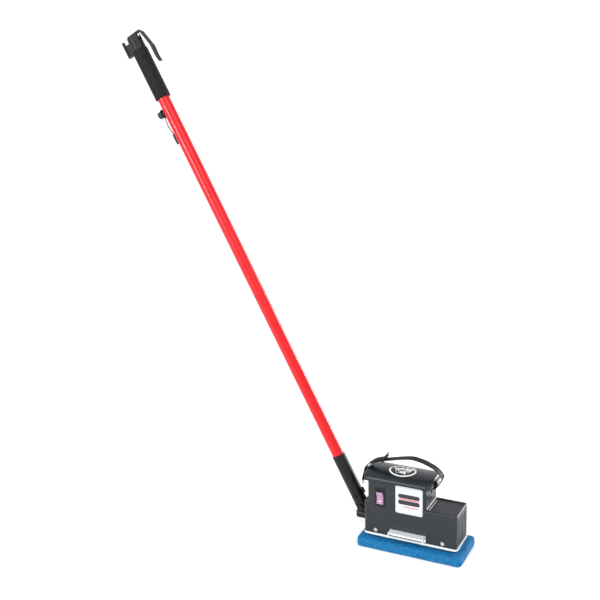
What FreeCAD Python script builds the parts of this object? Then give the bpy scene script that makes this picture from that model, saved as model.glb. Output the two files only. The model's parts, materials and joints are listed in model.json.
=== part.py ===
"""Hand-held orbital floor scrubber: a small rectangular scrubbing head on a long pole.

Frame: millimetres, +Z up, +X along the head's long side, +Y towards its rear face.
The origin is the centre of the scrub pad's bottom face, where the machine stands.
"""
import FreeCAD
import Part
import Sketcher
import math
import os
import re

Vector = FreeCAD.Vector
Rotation = FreeCAD.Rotation
Placement = FreeCAD.Placement

# ---------------------------------------------------------------- driving dimensions (mm, deg)
DIMENSIONS = [
    # scrub pad and its driver
    ("pad_past_ends", 15.0, "scrub pad past the housing's length at each end"),
    ("pad_width", 118.0, "scrub pad, along Y"),
    ("pad_thickness", 23.0, "scrub pad, pressed by the head"),
    ("pad_corner_round", 9.0, "plan radius of the pad's corners"),
    ("pad_edge_round", 5.0, "radius of the pad's long edges"),
    ("grip_sheet", 1.5, "hook sheet that holds the pad"),
    ("driver_inset", 4.0, "driver plate short of the housing's length at each end"),
    ("driver_width", 72.0, "driver plate, along Y"),
    ("driver_sheet", 3.5, "driver plate thickness"),
    ("driver_gap", 1.0, "air between driver plate and deck rim"),
    ("orbit_radius", 2.0, "throw of the eccentric"),
    ("rib_height", 5.0, "stiffening ribs on the driver plate"),
    ("rib_thick", 3.0, "thickness of those ribs"),
    ("rib_spacing", 30.0, "distance between the two ribs"),
    # deck pan
    ("rim_past_ends", 1.5, "deck rim past the housing's ends"),
    ("rim_past_sides", 1.0, "deck rim past the housing's sides"),
    ("deck_corner_round", 7.0, "plan radius of the rim's corners"),
    ("rim_height", 4.4, "height of the turned-down rim"),
    ("rim_wall", 1.6, "wall of the rim"),
    ("deck_sheet", 2.0, "deck sheet thickness"),
    ("platform_rise", 16.6, "raised middle of the deck above its rim"),
    ("platform_inset", 7.5, "rim's flat end outside the raised middle"),
    ("mount_inset", 27.0, "rubber mounts from the housing's ends"),
    ("mount_pitch_y", 44.0, "rubber mounts, along Y"),
    ("mount_radius", 10.0, "rubber mount"),
    ("stud_radius", 3.0, "stud of a rubber mount"),
    ("mount_gap", 0.3, "rubber mount above the driver plate"),
    # housing
    ("shell_centre_x", -1.0, "middle of housing and deck"),
    ("shell_length", 224.0, "housing, along X"),
    ("shell_width", 79.0, "housing, along Y"),
    ("shell_wall", 2.5, "housing wall"),
    ("shell_corner_round", 5.0, "radius of the upright corners"),
    ("shell_edge_round", 3.0, "radius of the low box's top edges"),
    ("low_box_height", 80.6, "low box above the deck rim"),
    ("tower_height", 133.3, "tower above the deck rim"),
    ("tower_setback", 9.0, "ledge left of the tower"),
    ("step_length", 74.0, "low box right of the tower"),
    ("foot_round", 4.0, "hollow round where the tower stands on the low box"),
    ("recess_depth", 2.5, "dish in the low box's top"),
    ("recess_margin", 5.0, "rim round that dish"),
    ("recess_round", 2.0, "radius round the dish's floor"),
    ("rib_proud", 0.7, "ribs on the right end wall"),
    # lid
    ("lid_width", 92.0, "lid, along Y"),
    ("lid_overhang_left", 10.0, "lid past the tower's left wall"),
    ("lid_overhang_right", 13.0, "lid past the tower's right wall"),
    ("lid_height", 17.3, "lid, at the top of its crown"),
    ("lid_crown_radius", 130.0, "curve of the lid's top, across Y"),
    ("lid_corner_round", 13.0, "plan radius of the lid's corners"),
    ("lid_edge_round", 5.0, "radius round the lid's top"),
    ("lid_under_round", 3.2, "radius under the lid's rim"),
    ("lid_wall", 2.5, "roof of the lid"),
    ("skirt_depth", 6.0, "lid skirt inside the tower"),
    ("skirt_gap", 0.2, "skirt to tower wall"),
    ("badge_length", 64.0, "oval badge on the lid, along X"),
    ("badge_width", 52.0, "oval badge on the lid, along Y"),
    ("badge_sheet", 0.6, "badge thickness"),
    # label and switch on the front wall
    ("label_x", -2.5, "label centre"),
    ("label_z", 131.0, "label centre"),
    ("label_width", 65.0, "label, along X"),
    ("label_height", 67.0, "label, along Z"),
    ("label_corner_round", 4.0, "corners of the label"),
    ("label_sheet", 0.5, "label thickness"),
    ("switch_x", -73.0, "switch centre"),
    ("switch_z", 126.0, "switch centre"),
    ("bezel_width", 25.0, "switch bezel, along X"),
    ("bezel_height", 46.0, "switch bezel, along Z"),
    ("bezel_border", 4.2, "frame of the bezel round the rocker"),
    ("bezel_proud", 1.4, "bezel in front of the wall"),
    ("rocker_gap", 0.35, "rocker to bezel"),
    ("rocker_tilt", 7.0, "rocker, each way from level"),
    ("switch_depth", 22.0, "switch body behind the wall"),
    ("screw_left_x", -84.0, "housing screws, left pair"),
    ("screw_right_x", 78.0, "housing screws, right pair"),
    ("screw_rise", 9.1, "housing screws above the deck rim"),
    ("screw_radius", 2.1, "housing screw shank"),
    # motor
    ("motor_radius", 32.0, "motor can, outside"),
    ("motor_wall", 2.0, "motor can wall"),
    ("motor_can_length", 68.0, "motor can between its bells"),
    ("bell_height", 10.0, "each end bell"),
    ("shaft_radius", 5.0, "motor shaft"),
    ("shaft_clearance", 0.03, "running clearance on radius"),
    ("bearing_radius", 13.0, "motor bearing, outside"),
    ("bearing_width", 8.0, "motor bearing"),
    ("air_gap", 0.3, "rotor to stator"),
    ("rotor_radius", 17.9, "rotor core"),
    ("core_length", 44.0, "rotor and stator cores"),
    ("fan_radius", 27.0, "cooling fan"),
    ("journal_radius", 8.5, "eccentric journal"),
    ("orbit_bearing_radius", 17.5, "pad driver bearing, outside"),
    ("orbit_bearing_width", 10.0, "pad driver bearing"),
    ("cup_wall", 6.0, "wall of the bearing cup"),
    ("bolt_circle", 54.0, "pitch circle of the motor bolts"),
    ("weight_length", 60.0, "ballast weight, along X"),
    ("weight_width", 62.0, "ballast weight, along Y"),
    ("weight_height", 54.0, "ballast weight, along Z"),
    # handle mount
    ("bracket_sheet", 2.5, "bracket steel"),
    ("bracket_width", 41.0, "end bracket, along Y"),
    ("bracket_reach", 24.0, "end bracket, out from the housing"),
    ("cheek_height", 16.5, "cheeks of the end bracket"),
    ("hinge_out", 20.0, "handle hinge, out from the housing"),
    ("hinge_clear", 0.5, "tongue's round above the swivel block's hub"),
    ("swing_z", 55.0, "swing bolt"),
    ("hinge_bolt_radius", 4.0, "hinge and swing bolts"),
    ("hub_radius", 11.5, "swivel block round the swing bolt"),
    ("swing_nut_height", 4.0, "thin nut of the swing bolt"),
    ("tongue_width", 14.0, "swivel tongue, along Y"),
    ("tongue_radius", 10.0, "swivel tongue round the hinge"),
    ("joint_gap", 0.3, "side play at a hinge"),
    ("ear_thick", 5.5, "clevis ear"),
    ("shelf_width", 85.0, "front bracket, along X"),
    ("shelf_x", -4.5, "front bracket centre"),
    ("shelf_rise", 17.7, "front bracket's shelf above the deck rim"),
    ("shelf_depth", 19.0, "front bracket, out from the housing"),
    ("shelf_sheet", 1.5, "front bracket steel"),
    ("shelf_lip", 2.2, "front lip of the shelf"),
    ("shelf_leg", 12.8, "end legs of the shelf"),
    ("web_proud", 1.2, "end webs above the shelf"),
    # pole, measured from the hinge along the pole
    ("handle_lean", 27.6, "pole from upright, as it stands"),
    ("tube_radius", 14.3, "pole tube"),
    ("tube_wall", 1.2, "pole tube wall"),
    ("tube_start", 16.0, "lower end of the tube"),
    ("tube_length", 1190.0, "pole tube"),
    ("sleeve_radius", 16.0, "socket sleeve"),
    ("sleeve_end", 134.0, "upper end of the sleeve"),
    ("grip_radius", 19.0, "foam grip"),
    ("grip_length", 126.0, "foam grip"),
    ("tube_past_grip", 6.0, "tube past the foam grip, inside the cap"),
    ("cap_radius", 17.0, "top cap"),
    ("cap_height", 33.0, "top cap above the grip"),
    ("cap_wall", 2.8, "top cap wall"),
    ("rod_radius", 3.0, "valve rod"),
    ("lever_width", 8.0, "trigger lever"),
    ("blade_width", 10.0, "finger blade of the lever"),
    ("hub_slot", 14.0, "slot in the cap for the lever's hub and spring"),
    ("hook_width", 8.0, "hanging hook"),
    ("lever_thick", 4.0, "trigger lever"),
    ("pin_offset", 12.0, "lever pin from the pole's axis"),
    ("pin_radius", 1.6, "lever pin"),
    ("port_drop", 163.0, "filling port below the tube's top"),
    ("port_radius", 8.5, "filling port and its plug"),
    ("plug_stem_radius", 5.0, "stem of the plug"),
    ("clip_drop", 230.0, "middle of the tether clip below the tube's top"),
    ("clip_length", 25.0, "tether clip"),
    ("tether_radius", 1.1, "plug tether"),
    # strap
    ("strap_width", 19.0, "carry strap, along Y"),
    ("strap_thick", 1.8, "carry strap"),
    ("strap_rise", 36.0, "top of the strap above the lid's crown"),
    ("left_anchor_drop", 16.7, "left strap anchor below the tower's top"),
    ("right_anchor_drop", 8.2, "right strap anchor below the tower's top"),
    ("anchor_reach", 13.0, "left strap bar past the lid"),
    ("anchor_rivets", 6.0, "anchor rivets, each side of the middle"),
    ("anchor_radius", 2.0, "bar of a strap anchor"),
]

# sizes that follow from the ones above
DERIVED = {
    "pad_length": "(shell_length + 2 * pad_past_ends)",
    "driver_length": "(shell_length - 2 * driver_inset)",
    "mount_pitch_x": "(shell_length - 2 * mount_inset)",
    "deck_length": "(shell_length + 2 * rim_past_ends)",
    "deck_width": "(shell_width + 2 * rim_past_sides)",
    "tower_length": "(shell_length - tower_setback - step_length)",
    "lid_length": "(tower_length + lid_overhang_left + lid_overhang_right)",
    "hinge_x": "(shell_centre_x - shell_length / 2 - hinge_out)",
    "hinge_z": "(swing_z + hub_radius + tongue_radius + hinge_clear)",
    "grip_end": "(tube_start + tube_length - tube_past_grip)",
    "grip_start": "(grip_end - grip_length)",
    "port_station": "(tube_start + tube_length - port_drop)",
    "clip_station": "(tube_start + tube_length - clip_drop)",
}

doc = FreeCAD.newDocument("orbital_floor_scrubber")
sheet = doc.addObject("Spreadsheet::Sheet", "dims")
for row, (alias, size, note) in enumerate(DIMENSIONS, 1):
    sheet.set("A%d" % row, alias)
    sheet.set("B%d" % row, str(size))
    sheet.set("C%d" % row, note)
    sheet.setAlias("B%d" % row, alias)
doc.recompute()

ALIASES = {alias for alias, size, note in DIMENSIONS}
SUBPARTS = []

# ---------------------------------------------------------------- levels and planes, as expressions
DRIVER_BOTTOM = "(pad_thickness + grip_sheet)"
DRIVER_TOP = "(pad_thickness + grip_sheet + driver_sheet)"
RIM_BOTTOM = "(pad_thickness + grip_sheet + driver_sheet + driver_gap)"
DECK_TOP = "(pad_thickness + grip_sheet + driver_sheet + driver_gap + rim_height)"
PLATFORM_TOP = "(" + DECK_TOP + " + platform_rise)"
PLATFORM_UNDER = "(" + PLATFORM_TOP + " - deck_sheet)"
SHELL_LEFT = "(shell_centre_x - shell_length / 2)"
SHELL_RIGHT = "(shell_centre_x + shell_length / 2)"
SHELL_SIDE = "(shell_width / 2)"
STEP_TOP = "(" + DECK_TOP + " + low_box_height)"
TOWER_TOP = "(" + DECK_TOP + " + tower_height)"
TOWER_LEFT = "(" + SHELL_LEFT + " + tower_setback)"
TOWER_RIGHT = "(" + TOWER_LEFT + " + tower_length)"
LID_LEFT = "(" + TOWER_LEFT + " - lid_overhang_left)"
LID_RIGHT = "(" + LID_LEFT + " + lid_length)"
LID_MIDDLE = "(" + LID_LEFT + " + lid_length / 2)"
LID_TOP = "(" + TOWER_TOP + " + lid_height)"
PLATFORM_LEFT = "(" + SHELL_LEFT + " + shell_wall + platform_inset)"
PLATFORM_RIGHT = "(" + SHELL_RIGHT + " - shell_wall - platform_inset)"
PLATFORM_SIDE = "(shell_width / 2 - shell_wall)"
SCREW_Z = "(" + DECK_TOP + " + screw_rise)"
LEFT_ANCHOR_Z = "(" + TOWER_TOP + " - left_anchor_drop)"
RIGHT_ANCHOR_Z = "(" + TOWER_TOP + " - right_anchor_drop)"
JOURNAL_TOP = "(" + DRIVER_TOP + " + orbit_bearing_width + 1.5)"
CAN_BOTTOM = "(" + PLATFORM_TOP + " + bell_height)"
CAN_TOP = "(" + CAN_BOTTOM + " + motor_can_length)"
CORE_BOTTOM = "(" + CAN_BOTTOM + " + (motor_can_length - core_length) / 2)"
EAR_OUTSIDE = "(tongue_width / 2 + joint_gap + ear_thick)"
CAP_TOP = "(grip_end + cap_height)"
PIN_STATION = "(" + CAP_TOP + " - 3)"
TUBE_END = "(tube_start + tube_length)"


def bound(text):
    """Point each named dimension of an expression at the spreadsheet."""
    def cell(match):
        word = match.group(0)
        if word in DERIVED:
            return bound(DERIVED[word])
        return "dims." + word if word in ALIASES else word
    return re.sub(r"[A-Za-z_][A-Za-z_0-9]*", cell, str(text))


def value(text):
    """The number that an expression has now."""
    return float(sheet.evalExpression(bound(text)))


def bind(obj, prop, text):
    obj.setExpression(prop, bound(text))


# ---------------------------------------------------------------- Part workbench helpers
AXES = {
    "z": Rotation(),
    "x": Rotation(Vector(0, 1, 0), 90),
    "y": Rotation(Vector(1, 0, 0), -90),
}


def place(obj, x, y, z, rotation=None):
    """Put an object's own origin at x, y, z, which are expressions."""
    if rotation is not None:
        obj.Placement = Placement(Vector(), rotation)
    for prop, text in (("x", x), ("y", y), ("z", z)):
        bind(obj, "Placement.Base." + prop, text)
    return obj


def box(name, middle_x, middle_y, bottom, length, width, height):
    """A block centred in plan on middle_x, middle_y and standing on bottom."""
    obj = doc.addObject("Part::Box", name)
    bind(obj, "Length", length)
    bind(obj, "Width", width)
    bind(obj, "Height", height)
    x = "(%s) - (%s) / 2" % (middle_x, length)
    y = "(%s) - (%s) / 2" % (middle_y, width)
    return place(obj, x, y, bottom)


def rod(name, x, y, z, radius, length, axis="z"):
    """A round bar that starts at x, y, z and runs along the positive axis."""
    obj = doc.addObject("Part::Cylinder", name)
    bind(obj, "Radius", radius)
    bind(obj, "Height", length)
    return place(obj, x, y, z, AXES[axis])


def hexagon(name, x, y, z, inscribed, length, axis="z"):
    """A hexagonal bar; inscribed is half its width across flats."""
    obj = doc.addObject("Part::Prism", name)
    obj.Polygon = 6
    bind(obj, "Circumradius", "(%s) / cos(30)" % inscribed)
    bind(obj, "Height", length)
    return place(obj, x, y, z, AXES[axis])


def ring(name, x, y, z, outer, inner, length, axis="z"):
    """A tube that starts at x, y, z."""
    outside = rod(name + "_outside", x, y, z, outer, length, axis)
    inside = rod(name + "_inside", x, y, z, inner, length, axis)
    return cut(name, outside, [inside])


def weld(name, solids):
    obj = doc.addObject("Part::MultiFuse", name)
    obj.Shapes = solids
    return obj


def cut(name, base, tools):
    obj = doc.addObject("Part::Cut", name)
    obj.Base = base
    obj.Tool = tools[0] if len(tools) == 1 else weld(name + "_tools", tools)
    return obj


def common(name, first, second):
    obj = doc.addObject("Part::Common", name)
    obj.Base = first
    obj.Tool = second
    return obj


def group(name, solids):
    """Like pieces that stay separate solids in one sub-part."""
    obj = doc.addObject("Part::Compound", name)
    obj.Links = solids
    return obj


def blend_edges(name, base, radius, wanted):
    """Round the edges of a Part object that wanted picks."""
    doc.recompute()
    obj = doc.addObject("Part::Fillet", name)
    obj.Base = base
    size = value(radius)
    obj.Edges = [(i, size, size) for i, edge in enumerate(base.Shape.Edges, 1) if wanted(edge)]
    return obj


# ---------------------------------------------------------------- PartDesign helpers
def new_body(name):
    return doc.addObject("PartDesign::Body", name)


def sketch(body, role, offset="0"):
    """An empty sketch on one of the body's own origin planes, moved along its normal."""
    plane = [item for item in body.Origin.OriginFeatures if item.Role == role][0]
    obj = body.newObject("Sketcher::SketchObject", body.Name + "_sketch")
    obj.AttachmentSupport = [(plane, "")]
    obj.MapMode = "FlatFace"
    bind(obj, "AttachmentOffset.Base.z", offset)
    return obj


def locate(obj, geometry, corner, x, y):
    """Tie one point of a sketch to its origin with two bound distances."""
    for kind, text in (("DistanceX", x), ("DistanceY", y)):
        rule = Sketcher.Constraint(kind, -1, 1, geometry, corner, value(text))
        index = obj.addConstraint(rule)
        bind(obj, "Constraints[%d]" % index, text)


def polygon(obj, corners):
    """A closed outline through corners, each a pair of expressions."""
    first = obj.GeometryCount
    points = [Vector(value(x), value(y), 0) for x, y in corners]
    count = len(points)
    for i in range(count):
        obj.addGeometry(Part.LineSegment(points[i], points[(i + 1) % count]), False)
    for i in range(count):
        rule = Sketcher.Constraint("Coincident", first + i, 2, first + (i + 1) % count, 1)
        obj.addConstraint(rule)
    for i, (x, y) in enumerate(corners):
        locate(obj, first + i, 1, x, y)


def rectangle(obj, x, y, width, height):
    """A rectangle by its middle."""
    left = "(%s) - (%s) / 2" % (x, width)
    right = "(%s) + (%s) / 2" % (x, width)
    low = "(%s) - (%s) / 2" % (y, height)
    high = "(%s) + (%s) / 2" % (y, height)
    polygon(obj, [(left, low), (right, low), (right, high), (left, high)])


def circle(obj, x, y, radius):
    centre = Vector(value(x), value(y), 0)
    index = obj.addGeometry(Part.Circle(centre, Vector(0, 0, 1), value(radius)), False)
    locate(obj, index, 3, x, y)
    rule = obj.addConstraint(Sketcher.Constraint("Radius", index, value(radius)))
    bind(obj, "Constraints[%d]" % rule, radius)


def pad(body, profile, length, symmetric=False, reverse=False):
    obj = body.newObject("PartDesign::Pad", body.Name + "_pad")
    obj.Profile = profile
    obj.SideType = "Symmetric" if symmetric else "One side"
    obj.Reversed = reverse
    bind(obj, "Length", length)
    doc.recompute()
    return obj


def pocket(body, profile, length, symmetric=False, reverse=False):
    obj = body.newObject("PartDesign::Pocket", body.Name + "_pocket")
    obj.Profile = profile
    obj.SideType = "Symmetric" if symmetric else "One side"
    obj.Reversed = reverse
    bind(obj, "Length", length)
    doc.recompute()
    return obj


def turn(body, profile):
    """Revolve a sketch drawn on the XZ plane about the body's Z axis."""
    obj = body.newObject("PartDesign::Revolution", body.Name + "_turn")
    obj.Profile = profile
    obj.ReferenceAxis = (profile, ["V_Axis"])
    obj.Angle = 360
    doc.recompute()
    return obj


def round_body(body, radius, wanted):
    """Round the edges of the body's last feature that wanted picks."""
    base = body.Tip
    edges = ["Edge%d" % i for i, edge in enumerate(base.Shape.Edges, 1) if wanted(edge)]
    obj = body.newObject("PartDesign::Fillet", body.Name + "_round")
    obj.Base = (base, edges)
    bind(obj, "Radius", radius)
    doc.recompute()
    return obj


# ---------------------------------------------------------------- picking edges
NEAR = 0.01


def upright(edge):
    bounds = edge.BoundBox
    return bounds.XLength < NEAR and bounds.YLength < NEAR and bounds.ZLength > NEAR


def level_at(z):
    height = value(z)

    def wanted(edge):
        bounds = edge.BoundBox
        return abs(bounds.ZMin - height) < NEAR and abs(bounds.ZMax - height) < NEAR
    return wanted


def across_at(y):
    """Edges that run along Y at no particular height, such as a label's corners."""
    depth = value(y)

    def wanted(edge):
        bounds = edge.BoundBox
        return bounds.XLength < NEAR and bounds.ZLength < NEAR and bounds.YMin < depth + NEAR
    return wanted


# ---------------------------------------------------------------- sub-part register
def keep(obj, label):
    """Register a finished sub-part of the head or the handle."""
    obj.Label = label
    SUBPARTS.append(obj)
    return obj


def handle_place():
    """From the upright pole, which starts at the hinge, to where the pole leans."""
    hinge = Vector(value("hinge_x"), 0, value("hinge_z"))
    return Placement(hinge, Rotation(Vector(0, -1, 0), value("handle_lean")))


def lean(obj, label):
    """Lean an upright piece of the handle and register it."""
    if obj.TypeId != "PartDesign::Body" and obj.TypeId != "Part::Compound":
        obj = group(label + "_leaning", [obj])
    obj.Placement = handle_place()
    return keep(obj, label)


# ================================================================ pad and driver
def make_scrub_pad():
    body = new_body("scrub_pad")
    outline = sketch(body, "XY_Plane")
    rectangle(outline, "0", "0", "pad_length", "pad_width")
    pad(body, outline, "pad_thickness")
    round_body(body, "pad_corner_round", upright)
    top = level_at("pad_thickness")
    bottom = level_at("0")
    round_body(body, "pad_edge_round", lambda edge: top(edge) or bottom(edge))
    keep(body, "scrub_pad")


def make_grip_sheet():
    body = new_body("pad_grip_sheet")
    outline = sketch(body, "XY_Plane", "pad_thickness")
    rectangle(outline, "0", "0", "driver_length - 4", "driver_width - 4")
    pad(body, outline, "grip_sheet")
    keep(body, "pad_grip_sheet")


def make_driver_plate():
    """Plate with a bearing cup over the eccentric and two stiffening ribs."""
    body = new_body("driver_plate")
    outline = sketch(body, "XY_Plane", DRIVER_BOTTOM)
    rectangle(outline, "0", "0", "driver_length", "driver_width")
    pad(body, outline, "driver_sheet")
    round_body(body, "pad_corner_round", upright)
    ribs = sketch(body, "XY_Plane", DRIVER_TOP)
    for side in ("-1", "1"):
        y = side + " * rib_spacing / 2"
        rectangle(ribs, "0", y, "mount_pitch_x - 2 * mount_radius - 10", "rib_thick")
    pad(body, ribs, "rib_height")
    cup = sketch(body, "XY_Plane", DRIVER_TOP)
    circle(cup, "orbit_radius", "0", "orbit_bearing_radius + cup_wall")
    pad(body, cup, "orbit_bearing_width + 0.5")
    bore = sketch(body, "XY_Plane", DRIVER_TOP + " + orbit_bearing_width + 0.5")
    circle(bore, "orbit_radius", "0", "orbit_bearing_radius")
    pocket(body, bore, "orbit_bearing_width + 0.5")
    keep(body, "driver_plate")


def make_orbit_bearing():
    bearing = ring("orbit_bearing", "orbit_radius", "0", DRIVER_TOP, "orbit_bearing_radius",
                   "journal_radius + shaft_clearance", "orbit_bearing_width")
    keep(bearing, "orbit_bearing")


def make_eccentric_hub():
    """Journal off the motor's axis, and a collar that clamps the motor shaft."""
    journal_bottom = DRIVER_TOP + " + 0.4"
    journal = rod("journal", "orbit_radius", "0", journal_bottom, "journal_radius",
                  JOURNAL_TOP + " - (" + journal_bottom + ")")
    collar = rod("collar", "0", "0", JOURNAL_TOP, "shaft_radius + 6", "10.5")
    bore = rod("collar_bore", "0", "0", JOURNAL_TOP, "shaft_radius", "12")
    keep(cut("eccentric_hub", weld("hub_blank", [journal, collar]), [bore]), "eccentric_hub")
    blank = ring("weight_blank", "0", "0", JOURNAL_TOP + " + 0.8", "shaft_radius + 17",
                 "shaft_radius + 6", "4")
    half = box("weight_half", "-30", "0", JOURNAL_TOP, "60", "60", "8")
    keep(common("counterweight", blank, half), "counterweight")


# ================================================================ deck
def mount_points():
    """Middles of the four rubber mounts."""
    return [(sx + " * mount_pitch_x / 2", sy + " * mount_pitch_y / 2")
            for sx in ("-1", "1") for sy in ("-1", "1")]


def motor_bolt_points():
    """Middles of the four motor bolts."""
    points = []
    for step in range(4):
        angle = 45 + 90 * step
        points.append(("bolt_circle / 2 * cos(%d)" % angle, "bolt_circle / 2 * sin(%d)" % angle))
    return points


def shelf_rivet_points():
    return ["(shelf_x - shelf_width / 2 + 12)", "(shelf_x + shelf_width / 2 - 12)"]


SHELF_RIVET_Z = "(" + DECK_TOP + " + 11)"
FOOT_SCREW_X = "(" + SHELL_LEFT + " + shell_wall + 3.4)"
FOOT_SCREW_Y = "(bracket_width / 2 - bracket_sheet - 5)"


def make_deck_pan():
    body = new_body("deck_pan")
    outline = sketch(body, "XY_Plane", RIM_BOTTOM)
    rectangle(outline, "shell_centre_x", "0", "deck_length", "deck_width")
    pad(body, outline, "rim_height")
    round_body(body, "deck_corner_round", upright)
    middle_x = "(" + PLATFORM_LEFT + " + " + PLATFORM_RIGHT + ") / 2"
    long_side = PLATFORM_RIGHT + " - " + PLATFORM_LEFT
    raised = sketch(body, "XY_Plane", RIM_BOTTOM)
    rectangle(raised, middle_x, "0", long_side, "2 * " + PLATFORM_SIDE)
    pad(body, raised, "rim_height + platform_rise")
    under_rim = sketch(body, "XY_Plane", RIM_BOTTOM)
    rectangle(under_rim, "shell_centre_x", "0", "deck_length - 2 * rim_wall",
              "deck_width - 2 * rim_wall")
    pocket(body, under_rim, "rim_height - deck_sheet", reverse=True)
    cavity = sketch(body, "XY_Plane", RIM_BOTTOM)
    rectangle(cavity, middle_x, "0", long_side + " - 2 * deck_sheet",
              "2 * (" + PLATFORM_SIDE + " - deck_sheet)")
    pocket(body, cavity, "rim_height + platform_rise - deck_sheet", reverse=True)
    holes = sketch(body, "XY_Plane", PLATFORM_TOP)
    circle(holes, "0", "0", "shaft_radius + 9")
    for x, y in mount_points():
        circle(holes, x, y, "stud_radius")
    for x, y in motor_bolt_points():
        circle(holes, x, y, "2.5")
    for side in ("-1", "1"):
        circle(holes, WEIGHT_X, side + " * weight_width / 4", "3")
    pocket(body, holes, "deck_sheet + 1")
    foot_holes = sketch(body, "XY_Plane", DECK_TOP)
    for side in ("-1", "1"):
        circle(foot_holes, FOOT_SCREW_X, side + " * " + FOOT_SCREW_Y, "2")
    pocket(body, foot_holes, "deck_sheet + 1")
    side_holes = sketch(body, "XZ_Plane")
    for x in ("screw_left_x", "screw_right_x"):
        circle(side_holes, x, SCREW_Z, "screw_radius")
    pocket(body, side_holes, "shell_width", symmetric=True)
    rivet_holes = sketch(body, "XZ_Plane", "shell_width / 2")
    for x in shelf_rivet_points():
        circle(rivet_holes, x, SHELF_RIVET_Z, "2")
    pocket(body, rivet_holes, "10")
    keep(body, "deck_pan")


def make_rubber_mounts():
    rubbers = []
    nuts = []
    bottom = DRIVER_TOP + " + mount_gap"
    for i, (x, y) in enumerate(mount_points()):
        length = PLATFORM_UNDER + " - (" + bottom + ")"
        rubber = rod("mount_rubber_%d" % i, x, y, bottom, "mount_radius", length)
        blind = rod("mount_blind_%d" % i, x, y, PLATFORM_UNDER + " - 6", "stud_radius", "8")
        rubbers.append(cut("rubber_mount_%d" % i, rubber, [blind]))
        stud = rod("mount_stud_%d" % i, x, y, PLATFORM_UNDER + " - 6", "stud_radius", "16")
        nut = hexagon("mount_hex_%d" % i, x, y, PLATFORM_TOP, "5", "5")
        nuts.append(weld("mount_nut_%d" % i, [stud, nut]))
    keep(group("rubber_mounts", rubbers), "rubber_mounts")
    keep(group("mount_studs", nuts), "mount_studs")


# ================================================================ housing
RIB_COUNT = 6
VENT_COUNT = 7
VENT_PITCH = 9


def make_housing_shell():
    body = new_body("housing_shell")
    outline = sketch(body, "XZ_Plane")
    polygon(outline, [
        (SHELL_LEFT, DECK_TOP), (SHELL_RIGHT, DECK_TOP), (SHELL_RIGHT, STEP_TOP),
        (TOWER_RIGHT, STEP_TOP), (TOWER_RIGHT, TOWER_TOP), (TOWER_LEFT, TOWER_TOP),
        (TOWER_LEFT, STEP_TOP), (SHELL_LEFT, STEP_TOP)])
    pad(body, outline, "shell_width", symmetric=True)
    round_body(body, "shell_corner_round", upright)
    step = level_at(STEP_TOP)
    tower_left = value(TOWER_LEFT)
    tower_right = value(TOWER_RIGHT)

    def outer_step_edge(edge):
        x = edge.BoundBox.Center.x
        return step(edge) and (x > tower_right + 1 or x < tower_left - 1)
    round_body(body, "shell_edge_round", outer_step_edge)
    inner = sketch(body, "XZ_Plane")
    left = SHELL_LEFT + " + shell_wall"
    right = SHELL_RIGHT + " - shell_wall"
    inner_left = TOWER_LEFT + " + shell_wall"
    inner_right = TOWER_RIGHT + " - shell_wall"
    ceiling = STEP_TOP + " - shell_wall - recess_depth"
    low = DECK_TOP + " - 1"
    high = TOWER_TOP + " + 1"
    polygon(inner, [
        (left, low), (right, low), (right, ceiling), (inner_right, ceiling),
        (inner_right, high), (inner_left, high), (inner_left, ceiling), (left, ceiling)])
    pocket(body, inner, "shell_width - 2 * shell_wall", symmetric=True)
    cut_front_wall(body)
    cut_rear_wall(body)
    cut_end_walls(body)
    foot = sketch(body, "XZ_Plane")
    polygon(foot, [(TOWER_RIGHT + " - 1", STEP_TOP + " - 1")] + hollow_round() + [
        (TOWER_RIGHT + " - 1", STEP_TOP + " + foot_round")])
    pad(body, foot, "shell_width - 2 * shell_corner_round", symmetric=True)
    dish = sketch(body, "XY_Plane", STEP_TOP)
    dish_middle = "(" + TOWER_RIGHT + " + " + SHELL_RIGHT + ") / 2"
    rectangle(dish, dish_middle, "0", "step_length - 2 * recess_margin",
              "shell_width - 2 * recess_margin")
    pocket(body, dish, "recess_depth")
    round_body(body, "shell_corner_round", dish_corner)
    round_body(body, "recess_round", level_at(STEP_TOP + " - recess_depth"))
    ribs = sketch(body, "XY_Plane", DECK_TOP + " + 8")
    for i in range(RIB_COUNT):
        y = "(%d / %d - 0.5) * (shell_width - 22)" % (i, RIB_COUNT - 1)
        rectangle(ribs, SHELL_RIGHT, y, "2 * rib_proud", "2.4")
    pad(body, ribs, "low_box_height - 20")
    keep(body, "housing_shell")


def hollow_round():
    """Points of the hollow round at the tower's foot, from the low box up the tower's wall."""
    points = [(TOWER_RIGHT + " + foot_round", STEP_TOP + " - 1")]
    for angle in (0, 15, 30, 45, 60, 75, 90):
        x = TOWER_RIGHT + " + foot_round * (1 - sin(%d))" % angle
        z = STEP_TOP + " + foot_round * (1 - cos(%d))" % angle
        points.append((x, z))
    return points


def dish_corner(edge):
    """Upright edges as deep as the dish in the low box's top."""
    deep = abs(edge.BoundBox.ZLength - value("recess_depth")) < NEAR
    return upright(edge) and deep and edge.BoundBox.ZMax > value(STEP_TOP) - NEAR


def cut_front_wall(body):
    """Switch opening, housing screws and the front bracket's rivets."""
    opening = sketch(body, "XZ_Plane", "shell_width / 2 + 0.5")
    rectangle(opening, "switch_x", "switch_z", "bezel_width - 3", "bezel_height - 3")
    pocket(body, opening, "shell_wall + 1")
    screws = sketch(body, "XZ_Plane")
    for x in ("screw_left_x", "screw_right_x"):
        circle(screws, x, SCREW_Z, "screw_radius")
    pocket(body, screws, "shell_width + 2", symmetric=True)
    rivets = sketch(body, "XZ_Plane", "shell_width / 2 + 0.5")
    for x in shelf_rivet_points():
        circle(rivets, x, SHELF_RIVET_Z, "2")
    pocket(body, rivets, "shell_wall + 1")


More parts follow.
